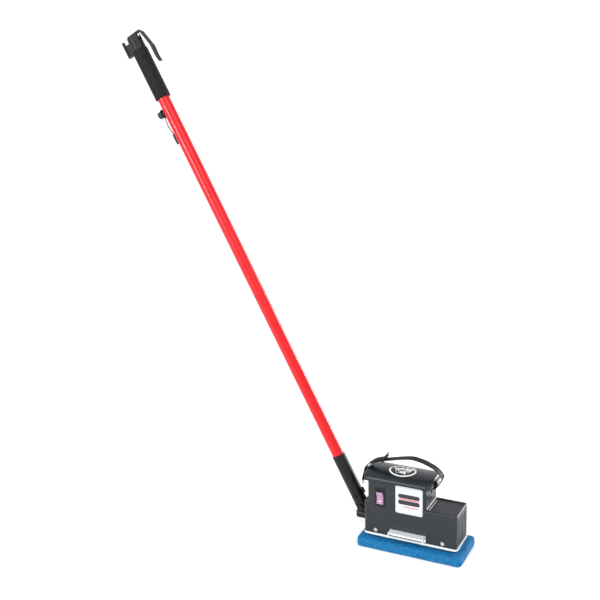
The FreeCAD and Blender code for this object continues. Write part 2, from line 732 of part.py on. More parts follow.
def cut_rear_wall(body):
    """Cooling slots behind the motor and the opening for the power inlet."""
    openings = sketch(body, "XZ_Plane", "-(shell_width / 2 + 0.5)")
    for i in range(VENT_COUNT):
        x = "label_x + %d" % ((i - (VENT_COUNT - 1) / 2) * VENT_PITCH)
        rectangle(openings, x, "label_z - 2", "4", "44")
    rectangle(openings, "switch_x", "switch_z", "27.4", "20.4")
    pocket(body, openings, "shell_wall + 1", reverse=True)


def cut_end_walls(body):
    """Notch for the end bracket's foot, swing bolt and strap anchor holes."""
    left_end = sketch(body, "YZ_Plane", SHELL_LEFT + " - 0.5")
    notch_top = DECK_TOP + " + bracket_sheet + 0.3"
    half_notch = "(bracket_width / 2 - bracket_sheet + 0.3)"
    polygon(left_end, [
        ("-" + half_notch, DECK_TOP + " - 1"), (half_notch, DECK_TOP + " - 1"),
        (half_notch, notch_top), ("-" + half_notch, notch_top)])
    circle(left_end, "0", "swing_z", "hinge_bolt_radius + 0.2")
    pocket(body, left_end, "shell_wall + 1", reverse=True)
    for wall, height in ((TOWER_LEFT, LEFT_ANCHOR_Z), (TOWER_RIGHT, RIGHT_ANCHOR_Z)):
        anchor = sketch(body, "YZ_Plane", wall + " - shell_wall - 0.5")
        for side in ("-1", "1"):
            circle(anchor, side + " * anchor_rivets", height, "1.6")
        pocket(body, anchor, "2 * shell_wall + 1", reverse=True)


def crowned_block(name, length, width, bottom, top, crown, corner):
    """A block with rounded upright corners and a top curved across Y."""
    height = "(" + top + ") - (" + bottom + ")"
    block = box(name + "_block", LID_MIDDLE, "0", bottom, length, width, height)
    rounded = blend_edges(name + "_corners", block, corner, upright)
    barrel = rod(name + "_barrel", LID_LEFT + " - 5", "0", "(" + top + ") - " + crown,
                 crown, "lid_length + 10", "x")
    return common(name + "_crown", rounded, barrel)


def make_lid():
    """Crowned lid that overhangs the tower, with a skirt that drops inside it."""
    outside = crowned_block("lid", "lid_length", "lid_width", TOWER_TOP, LID_TOP,
                            "lid_crown_radius", "lid_corner_round")
    bottom = value(TOWER_TOP)

    def top_edge(edge):
        bounds = edge.BoundBox
        return bounds.ZMin > bottom + 2 and not upright(edge)
    crowned = blend_edges("lid_crowned", outside, "lid_edge_round", top_edge)
    rounded = blend_edges("lid_rounded", crowned, "lid_under_round", level_at(TOWER_TOP))
    tower_middle = TOWER_LEFT + " + tower_length / 2"
    skirt_length = "(tower_length - 2 * shell_wall - 2 * skirt_gap)"
    skirt_width = "(shell_width - 2 * shell_wall - 2 * skirt_gap)"
    skirt = box("lid_skirt", tower_middle, "0", TOWER_TOP + " - skirt_depth", skirt_length,
                skirt_width, "skirt_depth + 1")
    hollow = box("lid_hollow", tower_middle, "0", TOWER_TOP + " - skirt_depth - 1",
                 skirt_length + " - 2 * lid_wall", skirt_width + " - 2 * lid_wall",
                 "skirt_depth + lid_height + 2")
    roof = rod("lid_roof", LID_LEFT, "0", LID_TOP + " - lid_crown_radius",
               "lid_crown_radius - lid_wall", "lid_length", "x")
    cavity = common("lid_cavity", hollow, roof)
    keep(cut("lid", weld("lid_solid", [rounded, skirt]), [cavity]), "lid")


def make_lid_badge():
    """Thin oval badge that lies on the crown."""
    oval = doc.addObject("Part::Ellipse", "badge_oval")
    bind(oval, "MajorRadius", "badge_length / 2")
    bind(oval, "MinorRadius", "badge_width / 2")
    place(oval, LID_MIDDLE, "0", TOWER_TOP)
    prism = doc.addObject("Part::Extrusion", "badge_prism")
    prism.Base = oval
    prism.DirMode = "Custom"
    prism.Dir = Vector(0, 0, 1)
    prism.Solid = True
    bind(prism, "LengthFwd", "lid_height + 5")
    low = LID_TOP + " - lid_crown_radius"
    over = rod("badge_over", LID_LEFT, "0", low, "lid_crown_radius + badge_sheet",
               "lid_length", "x")
    under = rod("badge_under", LID_LEFT, "0", low, "lid_crown_radius", "lid_length", "x")
    keep(cut("lid_badge", common("badge_blank", prism, over), [under]), "lid_badge")


def make_front_label():
    body = new_body("front_label")
    outline = sketch(body, "XZ_Plane", "shell_width / 2")
    rectangle(outline, "label_x", "label_z", "label_width", "label_height")
    pad(body, outline, "label_sheet")
    round_body(body, "label_corner_round", across_at("0"))
    keep(body, "front_label")


def make_shell_screws():
    """Pan-head screws through the housing into the deck's side walls."""
    screws = []
    for i, x in enumerate(("screw_left_x", "screw_right_x")):
        for j, side in enumerate((-1, 1)):
            if side < 0:
                shank_start = "-" + SHELL_SIDE
                head_start = "-" + SHELL_SIDE + " - 2.2"
            else:
                shank_start = SHELL_SIDE + " - 6"
                head_start = SHELL_SIDE
            name = "shell_screw_%d%d" % (i, j)
            shank = rod(name + "_shank", x, shank_start, SCREW_Z, "screw_radius", "6", "y")
            head = rod(name + "_head", x, head_start, SCREW_Z, "4.4", "2.2", "y")
            slot_y = "%d * (%s + 2.2)" % (side, SHELL_SIDE)
            slot_a = box(name + "_slot_a", x, slot_y, SCREW_Z + " - 2.6", "1", "2", "5.2")
            slot_b = box(name + "_slot_b", x, slot_y, SCREW_Z + " - 0.5", "5.2", "2", "1")
            screws.append(cut(name, weld(name + "_blank", [shank, head]), [slot_a, slot_b]))
    keep(group("shell_screws", screws), "shell_screws")


# ================================================================ switch and wiring
def make_switch():
    """Rocker switch in the front wall: bezel, rocker and the body behind it."""
    body = new_body("switch_bezel")
    face = sketch(body, "XZ_Plane", "shell_width / 2")
    rectangle(face, "switch_x", "switch_z", "bezel_width", "bezel_height")
    pad(body, face, "bezel_proud")
    plug = sketch(body, "XZ_Plane", "shell_width / 2")
    rectangle(plug, "switch_x", "switch_z", "bezel_width - 3.2", "bezel_height - 3.2")
    pad(body, plug, "shell_wall + 1", reverse=True)
    window = sketch(body, "XZ_Plane", "shell_width / 2 + bezel_proud")
    rectangle(window, "switch_x", "switch_z", "bezel_width - 2 * bezel_border",
              "bezel_height - 3 * bezel_border")
    pocket(body, window, "bezel_proud + shell_wall + 1")
    keep(body, "switch_bezel")
    case = box("switch_case", "switch_x", "-" + SHELL_SIDE + " + shell_wall + 1 + switch_depth / 2",
               "switch_z - bezel_height / 2 + 2", "bezel_width - 4", "switch_depth",
               "bezel_height - 4")
    tabs = []
    back = "-" + SHELL_SIDE + " + shell_wall + 1 + switch_depth + 4"
    for i, rise in enumerate(("-12", "0", "12")):
        tabs.append(box("switch_tab_%d" % i, "switch_x", back, "switch_z - 3 + " + rise,
                        "0.8", "8", "6"))
    keep(weld("switch_body", [case] + tabs), "switch_body")


def make_rocker():
    """Rocker tipped to its off side; its pin lies level with the wall's outer face."""
    width = value("bezel_width - 2 * bezel_border - 2 * rocker_gap")
    half = value("(bezel_height - 3 * bezel_border) / 2 - rocker_gap")
    front = value("bezel_proud + 0.9")
    back = value("shell_wall - 0.6")
    rocker = doc.addObject("PartDesign::Body", "switch_rocker")
    profile = sketch(rocker, "YZ_Plane")
    dip = front - half * math.tan(math.radians(value("rocker_tilt")))
    polygon(profile, [
        (str(-front - 1.6), str(half - 1.2)), (str(-dip + 0.6), "0"),
        (str(-front - 1.6), str(1.2 - half)), (str(back - 1.2), str(2.5 - half)),
        (str(back), "0"), (str(back - 1.2), str(half - 2.5))])
    pad(rocker, profile, str(width), symmetric=True)
    trunnion = sketch(rocker, "YZ_Plane")
    circle(trunnion, "0", "0", "1.2")
    pad(rocker, trunnion, str(width + value("rocker_gap")), symmetric=True)
    pivot = Vector(value("switch_x"), -value(SHELL_SIDE), value("switch_z"))
    rocker.Placement = Placement(pivot, Rotation(Vector(1, 0, 0), value("rocker_tilt")))
    keep(rocker, "switch_rocker")


def make_power_inlet():
    """Recessed inlet for a detachable lead in the rear wall, with three blades."""
    wall = SHELL_SIDE
    flange = box("inlet_flange", "switch_x", wall + " + 1.5", "switch_z - 12", "38", "3", "24")
    case = box("inlet_case", "switch_x", wall + " - 9", "switch_z - 10", "27", "18", "20")
    socket = box("inlet_socket", "switch_x", wall + " - 6.4", "switch_z - 8", "23", "19", "16")
    keep(cut("power_inlet", weld("inlet_blank", [flange, case]), [socket]), "power_inlet")
    blades = []
    for i, (x, z) in enumerate((("-7", "2"), ("7", "2"), ("0", "-3"))):
        blades.append(box("inlet_blade_%d" % i, "switch_x + " + x, wall + " - 8.9",
                          "switch_z - 2 + " + z, "2", "14", "4"))
    keep(group("inlet_blades", blades), "inlet_blades")


CAPACITOR_X = "(switch_x + 7)"
CAPACITOR_RADIUS = "14"
TERMINAL_X = "(0 - motor_radius - 7.5)"


def make_wiring():
    """Run capacitor in its saddle, and the terminal block."""
    axis_z = PLATFORM_TOP + " + " + CAPACITOR_RADIUS + " + 1"
    can = rod("capacitor_can", CAPACITOR_X, "-28", axis_z, CAPACITOR_RADIUS, "56", "y")
    neck = rod("capacitor_neck", CAPACITOR_X, "28", axis_z, "6", "4", "y")
    keep(weld("capacitor", [can, neck]), "capacitor")
    outside = rod("saddle_outside", CAPACITOR_X, "-6", axis_z, CAPACITOR_RADIUS + " + 1", "12", "y")
    foot = box("saddle_foot", CAPACITOR_X, "0", PLATFORM_TOP, "2 * (%s + 7)" % CAPACITOR_RADIUS,
               "12", "1.2")
    inside = rod("saddle_inside", CAPACITOR_X, "-7", axis_z, CAPACITOR_RADIUS, "14", "y")
    keep(cut("capacitor_saddle", weld("saddle_blank", [outside, foot]), [inside]),
         "capacitor_saddle")
    block = box("terminal_base", TERMINAL_X, "0", PLATFORM_TOP, "10", "44", "12")
    slots = [box("terminal_slot_%d" % i, TERMINAL_X, "%d" % (i * 14 - 14), PLATFORM_TOP + " + 6",
                 "6", "9", "8") for i in range(3)]
    keep(cut("terminal_block", block, slots), "terminal_block")


WEIGHT_X = "((" + TOWER_RIGHT + " + " + PLATFORM_RIGHT + ") / 2)"


def make_ballast():
    """Iron block in the low box that balances the handle."""
    block = box("ballast_block", WEIGHT_X, "0", PLATFORM_TOP, "weight_length", "weight_width",
                "weight_height")
    bores = []
    for i, side in enumerate(("-1", "1")):
        y = side + " * weight_width / 4"
        bores.append(rod("ballast_bore_%d" % i, WEIGHT_X, y, PLATFORM_TOP + " - 1", "3", "21"))
    for i, (x, y) in enumerate(mount_points()[2:]):
        bores.append(rod("ballast_relief_%d" % i, x, y, PLATFORM_TOP + " - 1", "7", "12"))
    keep(cut("ballast_weight", block, bores), "ballast_weight")


# ================================================================ motor
def make_motor_frame():
    can = ring("motor_can", "0", "0", CAN_BOTTOM, "motor_radius", "motor_radius - motor_wall",
               "motor_can_length")
    keep(can, "motor_can")
    seats = {"lower": (PLATFORM_TOP, CAN_BOTTOM, "1"), "upper": (CAN_TOP, CAN_TOP + " - 3", "0.5")}
    for end, (bottom, spigot_bottom, lift) in seats.items():
        name = "motor_%s_bell" % end
        disc = rod(name + "_disc", "0", "0", bottom, "motor_radius", "bell_height")
        spigot = rod(name + "_spigot", "0", "0", spigot_bottom, "motor_radius - motor_wall", "3")
        seat_z = bottom + " + " + lift
        seat = rod(name + "_seat", "0", "0", seat_z, "bearing_radius",
                   "bearing_width" if end == "lower" else "bell_height")
        hole = rod(name + "_hole", "0", "0", bottom + " - 4", "shaft_radius + 2", "30")
        inner = rod(name + "_inner", "0", "0", spigot_bottom + (" + 1" if end == "lower" else " - 1"),
                    "motor_radius - motor_wall - 4", "3.5")
        tools = [seat, hole, inner]
        if end == "lower":
            for i, (x, y) in enumerate(motor_bolt_points()):
                tools.append(rod(name + "_tap_%d" % i, x, y, bottom + " - 1", "2.5", "8"))
        else:
            for i in range(6):
                slot = box(name + "_vent_%d" % i, "21", "0", bottom + " - 5", "8", "6", "20")
                turned = group(name + "_turned_%d" % i, [slot])
                turned.Placement = Placement(Vector(), Rotation(Vector(0, 0, 1), 60 * i))
                tools.append(turned)
        keep(cut(name, weld(name + "_blank", [disc, spigot]), tools), name)


def make_motor_inside():
    """Stator with its end windings, and the rotor on its shaft."""
    bore = "rotor_radius + air_gap"
    bore_end = "motor_radius - motor_wall"
    keep(ring("stator_core", "0", "0", CORE_BOTTOM, bore_end, bore, "core_length"), "stator_core")
    windings = []
    for i, z in enumerate((CORE_BOTTOM + " - 7", CORE_BOTTOM + " + core_length")):
        windings.append(ring("winding_%d" % i, "0", "0", z, bore_end + " - 3", bore + " + 1.5", "7"))
    keep(group("stator_windings", windings), "stator_windings")
    core = ring("rotor_core", "0", "0", CORE_BOTTOM, "rotor_radius", "shaft_radius", "core_length")
    keep(core, "rotor_core")
    top = CAN_TOP + " + bell_height + 14"
    shaft = rod("motor_shaft", "0", "0", JOURNAL_TOP, "shaft_radius", top + " - " + JOURNAL_TOP)
    keep(shaft, "motor_shaft")


def make_motor_bearings():
    bearings = []
    for end, bottom in (("lower", PLATFORM_TOP + " + 1"), ("upper", CAN_TOP + " + 0.5")):
        bearings.append(ring(end + "_bearing", "0", "0", bottom, "bearing_radius",
                             "shaft_radius + shaft_clearance", "bearing_width"))
    keep(group("motor_bearings", bearings), "motor_bearings")


BLADE_COUNT = 9


def make_cooling_fan():
    bottom = CAN_TOP + " + bell_height + 2"
    hub = rod("fan_hub", "0", "0", bottom, "shaft_radius + 4", "10")
    disc = rod("fan_disc", "0", "0", bottom, "fan_radius", "1.5")
    blades = []
    for i in range(BLADE_COUNT):
        blade = box("fan_blade_%d" % i, "(fan_radius + shaft_radius) / 2 + 1", "0", bottom,
                    "fan_radius - shaft_radius - 3", "1.4", "9")
        turned = group("fan_turned_%d" % i, [blade])
        turned.Placement = Placement(Vector(), Rotation(Vector(0, 0, 1), 360 * i / BLADE_COUNT))
        blades.append(turned)
    bore = rod("fan_bore", "0", "0", bottom + " - 1", "shaft_radius", "12")
    keep(cut("cooling_fan", weld("fan_blank", [hub, disc] + blades), [bore]), "cooling_fan")


def make_deck_bolts():
    """Bolts from under the deck into the motor's lower bell and into the ballast."""
    bolts = []
    for i, (x, y) in enumerate(motor_bolt_points()):
        shank = rod("motor_shank_%d" % i, x, y, PLATFORM_UNDER, "2.5", "8")
        head = hexagon("motor_head_%d" % i, x, y, PLATFORM_UNDER + " - 3", "3.6", "3")
        bolts.append(weld("motor_bolt_%d" % i, [shank, head]))
    for i, side in enumerate(("-1", "1")):
        y = side + " * weight_width / 4"
        shank = rod("ballast_shank_%d" % i, WEIGHT_X, y, PLATFORM_UNDER, "3", "20")
        head = hexagon("ballast_head_%d" % i, WEIGHT_X, y, PLATFORM_UNDER + " - 4", "5", "4")
        bolts.append(weld("ballast_bolt_%d" % i, [shank, head]))
    keep(group("deck_bolts", bolts), "deck_bolts")


# ================================================================ brackets
BRACKET_FACE = "(" + SHELL_LEFT + " - bracket_sheet)"
HUB_START = "(" + BRACKET_FACE + " - joint_gap)"
HUB_LENGTH = "29"


def make_end_bracket():
    """Back plate with a foot on the deck's rim and two cheeks round the swivel."""
    back = box("bracket_back", BRACKET_FACE + " + bracket_sheet / 2", "0", DECK_TOP,
               "bracket_sheet", "bracket_width", "swing_z + 11 - " + DECK_TOP)
    foot = box("bracket_foot", SHELL_LEFT + " + 3.6", "0", DECK_TOP, "7.2 + bracket_sheet",
               "bracket_width - 2 * bracket_sheet", "bracket_sheet")
    cheeks = []
    for i, side in enumerate(("-1", "1")):
        y = side + " * (bracket_width - bracket_sheet) / 2"
        cheeks.append(box("bracket_cheek_%d" % i, BRACKET_FACE + " - bracket_reach / 2 + 0.3", y,
                          RIM_BOTTOM, "bracket_reach - 0.6", "bracket_sheet", "cheek_height"))
        cheeks.append(box("bracket_root_%d" % i, BRACKET_FACE, y, DECK_TOP, "2",
                          "bracket_sheet", RIM_BOTTOM + " + cheek_height - " + DECK_TOP))
    blank = weld("bracket_blank", [back, foot] + cheeks)
    tools = [rod("bracket_swing_hole", BRACKET_FACE + " - 1", "0", "swing_z",
                 "hinge_bolt_radius", "10", "x")]
    for i, side in enumerate(("-1", "1")):
        tools.append(rod("bracket_foot_hole_%d" % i, FOOT_SCREW_X, side + " * " + FOOT_SCREW_Y,
                         DECK_TOP + " - 1", "2", "8"))
    for i, (x, z) in enumerate((("-17.5", "11"), ("-11", "8.5"))):
        tools.append(rod("bracket_cheek_hole_%d" % i, BRACKET_FACE + " + " + x, "-40",
                         RIM_BOTTOM + " + " + z, "1.9", "80", "y"))
    keep(cut("end_bracket", blank, tools), "end_bracket")
    screws = []
    for i, side in enumerate(("-1", "1")):
        y = side + " * " + FOOT_SCREW_Y
        shank = rod("foot_shank_%d" % i, FOOT_SCREW_X, y, DECK_TOP + " - 3", "2", "6")
        head = rod("foot_head_%d" % i, FOOT_SCREW_X, y, DECK_TOP + " + bracket_sheet", "3.2", "2.2")
        screws.append(weld("foot_screw_%d" % i, [shank, head]))
    keep(group("bracket_screws", screws), "bracket_screws")


RIVETS = []


def make_front_bracket():
    """Folded shelf on the front wall: back flange, shelf, front lip and end legs."""
    wall = "-" + SHELL_SIDE
    shelf_top = DECK_TOP + " + shelf_rise"
    flange = box("shelf_flange", "shelf_x", wall + " - shelf_sheet / 2", DECK_TOP + " + 3",
                 "shelf_width", "shelf_sheet", "shelf_rise - 3")
    shelf = box("shelf_top", "shelf_x", wall + " - shelf_depth / 2", shelf_top + " - shelf_sheet",
                "shelf_width", "shelf_depth", "shelf_sheet")
    lip = box("shelf_lip_plate", "shelf_x", wall + " - shelf_depth + shelf_sheet / 2",
              shelf_top + " - shelf_lip", "shelf_width", "shelf_sheet", "shelf_lip")
    legs = []
    for i, side in enumerate(("-1", "1")):
        x = "shelf_x + " + side + " * (shelf_width - shelf_sheet) / 2"
        legs.append(box("shelf_leg_%d" % i, x, wall + " - shelf_depth + 3", shelf_top + " - shelf_leg",
                        "shelf_sheet", "6", "shelf_leg"))
        legs.append(box("shelf_web_%d" % i, x, wall + " - shelf_depth / 2", shelf_top + " - 6",
                        "shelf_sheet", "shelf_depth", "6 + web_proud"))
    holes = [rod("shelf_hole_%d" % i, x, wall + " - 3", SHELF_RIVET_Z, "2", "4", "y")
             for i, x in enumerate(shelf_rivet_points())]
    keep(cut("front_bracket", weld("shelf_blank", [flange, shelf, lip] + legs), holes),
         "front_bracket")
    for i, x in enumerate(shelf_rivet_points()):
        shank = rod("rivet_shank_%d" % i, x, wall + " - shelf_sheet", SHELF_RIVET_Z, "2",
                    "shelf_sheet + shell_wall + deck_sheet", "y")
        head = rod("rivet_head_%d" % i, x, wall + " - shelf_sheet - 1.3", SHELF_RIVET_Z, "3.6",
                   "1.3", "y")
        tail = rod("rivet_tail_%d" % i, x, wall + " + shell_wall + deck_sheet", SHELF_RIVET_Z,
                   "3", "1.2", "y")
        RIVETS.append(weld("bracket_rivet_%d" % i, [shank, head, tail]))


# ================================================================ swivel
def make_swivel_block():
    """Hub that turns on the swing bolt, with a tongue up to the handle's hinge."""
    hub = rod("swivel_hub", HUB_START + " - " + HUB_LENGTH, "0", "swing_z", "hub_radius",
              HUB_LENGTH, "x")
    tongue = box("swivel_tongue", "hinge_x", "0", "swing_z", "2 * tongue_radius", "tongue_width",
                 "hinge_z - swing_z")
    knuckle = rod("swivel_knuckle", "hinge_x", "-tongue_width / 2", "hinge_z", "tongue_radius",
                  "tongue_width", "y")
    swing_bore = rod("swing_bore", HUB_START + " - " + HUB_LENGTH + " - 1", "0", "swing_z",
                     "hinge_bolt_radius + 0.05", HUB_LENGTH + " + 2", "x")
    hinge_bore = rod("hinge_bore", "hinge_x", "-20", "hinge_z", "hinge_bolt_radius + 0.05",
                     "40", "y")
    block = cut("swivel_block", weld("swivel_blank", [hub, tongue, knuckle]),
                [swing_bore, hinge_bore])
    keep(block, "swivel_block")


def make_swing_bolt():
    """Bolt from inside the housing, through the bracket and the swivel, to its nut."""
    head_start = SHELL_LEFT + " + shell_wall"
    end = HUB_START + " - " + HUB_LENGTH + " - joint_gap"
    tip = end + " - swing_nut_height - 2"
    shank = rod("swing_shank", tip, "0", "swing_z", "hinge_bolt_radius",
                head_start + " - (" + tip + ")", "x")
    head = hexagon("swing_head", head_start, "0", "swing_z", "5.5", "4.5", "x")
    keep(weld("swing_bolt", [shank, head]), "swing_bolt")
    nut = hexagon("swing_nut_hex", end + " - swing_nut_height", "0", "swing_z", "6.5",
                  "swing_nut_height", "x")
    bore = rod("swing_nut_bore", end + " - 8", "0", "swing_z", "hinge_bolt_radius", "10", "x")
    keep(cut("swing_nut", nut, [bore]), "swing_nut")


# ================================================================ handle, upright from the hinge
def make_handle_socket():
    """Clevis whose two ears straddle the tongue, and the sleeve for the tube."""
    ears = []
    for i, side in enumerate(("-1", "1")):
        y = side + " * (tongue_width / 2 + joint_gap + ear_thick / 2)"
        start = "(" + y + ") - ear_thick / 2"
        ears.append(rod("ear_round_%d" % i, "0", start, "0", "tongue_radius + 1", "ear_thick", "y"))
        ears.append(box("ear_plate_%d" % i, "0", y, "0", "2 * (tongue_radius + 1)", "ear_thick",
                        "tube_start"))
    web = rod("socket_web", "0", "0", "tongue_radius + 2", "sleeve_radius",
              "tube_start - tongue_radius - 2")
    sleeve = rod("socket_sleeve", "0", "0", "tube_start", "sleeve_radius",
                 "sleeve_end - tube_start")
    bore = rod("socket_bore", "0", "0", "tube_start", "tube_radius", "sleeve_end")
    hinge_hole = rod("ear_hole", "0", "-30", "0", "hinge_bolt_radius", "60", "y")
    cross_hole = rod("socket_cross_hole", "0", "-30", "tube_start + 11", "2.5", "60", "y")
    outlet_hole = rod("socket_outlet_hole", "0", "0", "tube_start + 22", "3.5", "30", "x")
    blank = weld("socket_blank", ears + [web, sleeve])
    lean(cut("socket_cut", blank, [bore, hinge_hole, cross_hole, outlet_hole]), "handle_socket")


def make_hinge_bolts():
    """Hinge bolt with its nut, and the cross bolt that holds the tube in the socket."""
    shank = rod("hinge_shank", "0", "-" + EAR_OUTSIDE, "0", "hinge_bolt_radius",
                "2 * " + EAR_OUTSIDE + " + 8", "y")
    head = hexagon("hinge_head", "0", "-" + EAR_OUTSIDE + " - 5", "0", "6.5", "5", "y")
    hinge = weld("hinge_bolt_solid", [shank, head])
    nut = hexagon("hinge_nut_hex", "0", EAR_OUTSIDE, "0", "6.5", "6.5", "y")
    bore = rod("hinge_nut_bore", "0", EAR_OUTSIDE + " - 1", "0", "hinge_bolt_radius", "10", "y")
    lean(cut("hinge_nut_solid", nut, [bore]), "hinge_nut")
    cross = rod("cross_shank", "0", "-sleeve_radius", "tube_start + 11", "2.5",
                "2 * sleeve_radius", "y")
    ends = []
    for i, start in enumerate(("-sleeve_radius - 2.4", "sleeve_radius - 0.6")):
        ends.append(rod("cross_end_%d" % i, "0", start, "tube_start + 11", "4.2", "3", "y"))
    outside = rod("cross_trim", "0", "0", "tube_start", "sleeve_radius", "22")
    heads = cut("cross_heads", weld("cross_ends", ends), [outside])
    lean(group("handle_bolts", [hinge, weld("cross_bolt_solid", [cross, heads])]), "handle_bolts")


def make_pole_tube():
    """Tube that is also the solution tank, with a filling hole near its top."""
    tube = ring("pole_wall", "0", "0", "tube_start", "tube_radius", "tube_radius - tube_wall",
                "tube_length")
    fill = rod("tube_fill_hole", "-30", "0", "port_station", "port_radius - 2.5", "20", "x")
    cross = rod("tube_cross_hole", "0", "-30", "tube_start + 11", "2.5", "60", "y")
    outlet = rod("tube_outlet_hole", "0", "0", "tube_start + 22", "3.5", "30", "x")
    lean(cut("tube_cut", tube, [fill, cross, outlet]), "pole_tube")


VALVE_SEAT = "(tube_start + 34)"
SEAL_BOTTOM = "(" + VALVE_SEAT + " - 4.3)"


def make_valve():
    """Valve in the tube's lower end, its rubber seal on the rod, and the outlet spout."""
    inside = "tube_radius - tube_wall"
    body = rod("valve_blank", "0", "0", "tube_start", inside, "40")
    cross = rod("valve_cross_hole", "0", "-30", "tube_start + 11", "2.5", "60", "y")
    chamber = rod("valve_chamber", "0", "0", "tube_start + 20", "9", VALVE_SEAT + " - tube_start - 20")
    throat = rod("valve_throat", "0", "0", "tube_start + 30", "rod_radius + 1.5", "20")
    port = rod("valve_port", "0", "0", "tube_start + 22", "3.5", "30", "x")
    lean(cut("valve_cut", body, [cross, chamber, throat, port]), "valve_body")
    seal = rod("seal_disc", "0", "0", SEAL_BOTTOM, "7.5", "4")
    seal_bore = rod("seal_bore", "0", "0", SEAL_BOTTOM + " - 1", "rod_radius", "8")
    lean(cut("seal_cut", seal, [seal_bore]), "valve_seal")
    stub = rod("spout_stub", inside + " - 3", "0", "tube_start + 22", "3.5",
               "sleeve_radius - (" + inside + ") + 7", "x")
    drop = rod("spout_drop", "sleeve_radius + 3.6", "0", "tube_start + 12", "3.4", "13.4")
    passage = rod("spout_passage", inside + " - 4", "0", "tube_start + 22", "2",
                  "sleeve_radius - (" + inside + ") + 7.6", "x")
    down = rod("spout_down", "sleeve_radius + 3.6", "0", "tube_start + 11", "2", "11")
    lean(cut("spout_cut", weld("spout_blank", [stub, drop]), [passage, down]), "outlet_spout")


KNOB_TOP = "(" + CAP_TOP + " + 1.6)"


def make_valve_rod():
    """Headed rod from the lever down the tube to the valve."""
    start = SEAL_BOTTOM
    bar = rod("rod_bar", "0", "0", start, "rod_radius", KNOB_TOP + " - 6 - (" + start + ")")
    button = rod("button_blank", "0", "0", KNOB_TOP + " - 7", "rod_radius + 2", "7")
    crown = value(KNOB_TOP)

    def top_rim(edge):
        return abs(edge.BoundBox.ZMin - crown) < NEAR
    rounded = blend_edges("button_round", button, "1.5", top_rim)
    lean(weld("rod_solid", [bar, rounded]), "valve_rod")


def make_foam_grip():
    body = new_body("foam_grip")
    profile = sketch(body, "XZ_Plane")
    polygon(profile, [
        ("tube_radius", "grip_start"), ("grip_radius - 2", "grip_start"),
        ("grip_radius", "grip_start + 2.5"), ("grip_radius", "grip_end - 12"),
        ("grip_radius - 1.5", "grip_end"), ("tube_radius", "grip_end")])
    turn(body, profile)
    lean(body, "foam_grip")


def make_top_cap():
    """Cup on the tube's top: floor with a guide hole, open well, notch for the lever."""
    blank = rod("cap_blank", "0", "0", "grip_end", "cap_radius", "cap_height")
    rounded = blend_edges("cap_round", blank, "0.8", level_at("grip_end + cap_height"))
    tube_seat = rod("cap_seat", "0", "0", "grip_end - 1", "tube_radius", TUBE_END + " - grip_end + 1")
    guide = rod("cap_guide", "0", "0", "grip_end", "rod_radius + shaft_clearance", "40")
    well = rod("cap_well", "0", "0", TUBE_END + " + 3", "cap_radius - cap_wall", "40")
    notch_floor = "grip_end + 18"
    notch = box("cap_notch", "cap_radius", "0", notch_floor + " + 3", "20", "lever_width + 2",
                "30")
    notch_round = rod("cap_notch_round", "7", "0", notch_floor + " + (lever_width + 2) / 2",
                      "(lever_width + 2) / 2", "20", "x")
    left_slot = box("cap_left_slot", "-cap_radius", "0", PIN_STATION + " - 5.4", "14",
                    "hub_slot", "20")
    pin_hole = rod("cap_pin_hole", "-pin_offset", "-30", PIN_STATION, "pin_radius", "60", "y")
    tools = [tube_seat, guide, well, notch, notch_round, left_slot, pin_hole]
    lean(cut("cap_cut", rounded, tools), "top_cap")


def make_hanging_hook():
    """Flat hook moulded for the cap's left side, closed at its lower end."""
    strip = box("hook_strip", "-34", "0", "grip_end - 4", "4", "hook_width", "40")
    root = box("hook_root", "-24", "0", "grip_end - 4", "20", "hook_width", "5")
    gusset = box("hook_gusset", "-24", "0", "grip_end", "20", "hook_width / 2", "26")
    inner = rod("hook_inner", "0", "0", "grip_end - 10", "cap_radius", "60")
    foam = rod("hook_foam", "0", "0", "grip_end - 10", "grip_radius + 0.4", "10")
    lean(cut("hook_cut", weld("hook_blank", [strip, root, gusset]), [inner, foam]),
         "hanging_hook")


def make_trigger():
    """Lever on a pin in the cap's left side; it crosses the rod and hangs by the grip."""
    body = new_body("trigger_lever")
    profile = sketch(body, "XZ_Plane")
    bottom = CAP_TOP + " + 2"
    top = CAP_TOP + " + 2 + lever_thick + 1"
    polygon(profile, [
        ("-pin_offset - 4", PIN_STATION + " - 3"), ("-pin_offset + 4", PIN_STATION + " - 3"),
        ("-pin_offset + 4", bottom), ("20", bottom), ("24.5", CAP_TOP + " - 2"),
        ("34", "grip_end - 6"), ("34.5", "grip_end - 36"), ("37", "grip_end - 49"),
        ("41", "grip_end - 51"), ("39.5", "grip_end - 34"), ("40.5", "grip_end - 9"),
        ("29.5", CAP_TOP + " - 1"), ("22.5", top), ("-pin_offset - 2", top),
        ("-pin_offset - 5.5", CAP_TOP + " + 1")])
    pad(body, profile, "lever_width", symmetric=True)
    blade = sketch(body, "XZ_Plane")
    polygon(blade, [
        ("34", "grip_end - 6"), ("34.5", "grip_end - 36"), ("37", "grip_end - 49"),
        ("41", "grip_end - 51"), ("39.5", "grip_end - 34"), ("40.5", "grip_end - 9")])
    pad(body, blade, "blade_width", symmetric=True)
    hole = sketch(body, "XZ_Plane")
    circle(hole, "-pin_offset", PIN_STATION, "pin_radius + 0.05")
    pocket(body, hole, "lever_width + 10", symmetric=True)
    lean(body, "trigger_lever")
    pin_half = "13"
    pin = rod("pin_bar", "-pin_offset", "-" + pin_half, PIN_STATION, "pin_radius",
              "2 * " + pin_half, "y")
    outside = rod("pin_trim", "0", "0", "grip_end", "cap_radius", "60")
    lean(common("pin_cut", pin, outside), "lever_pin")


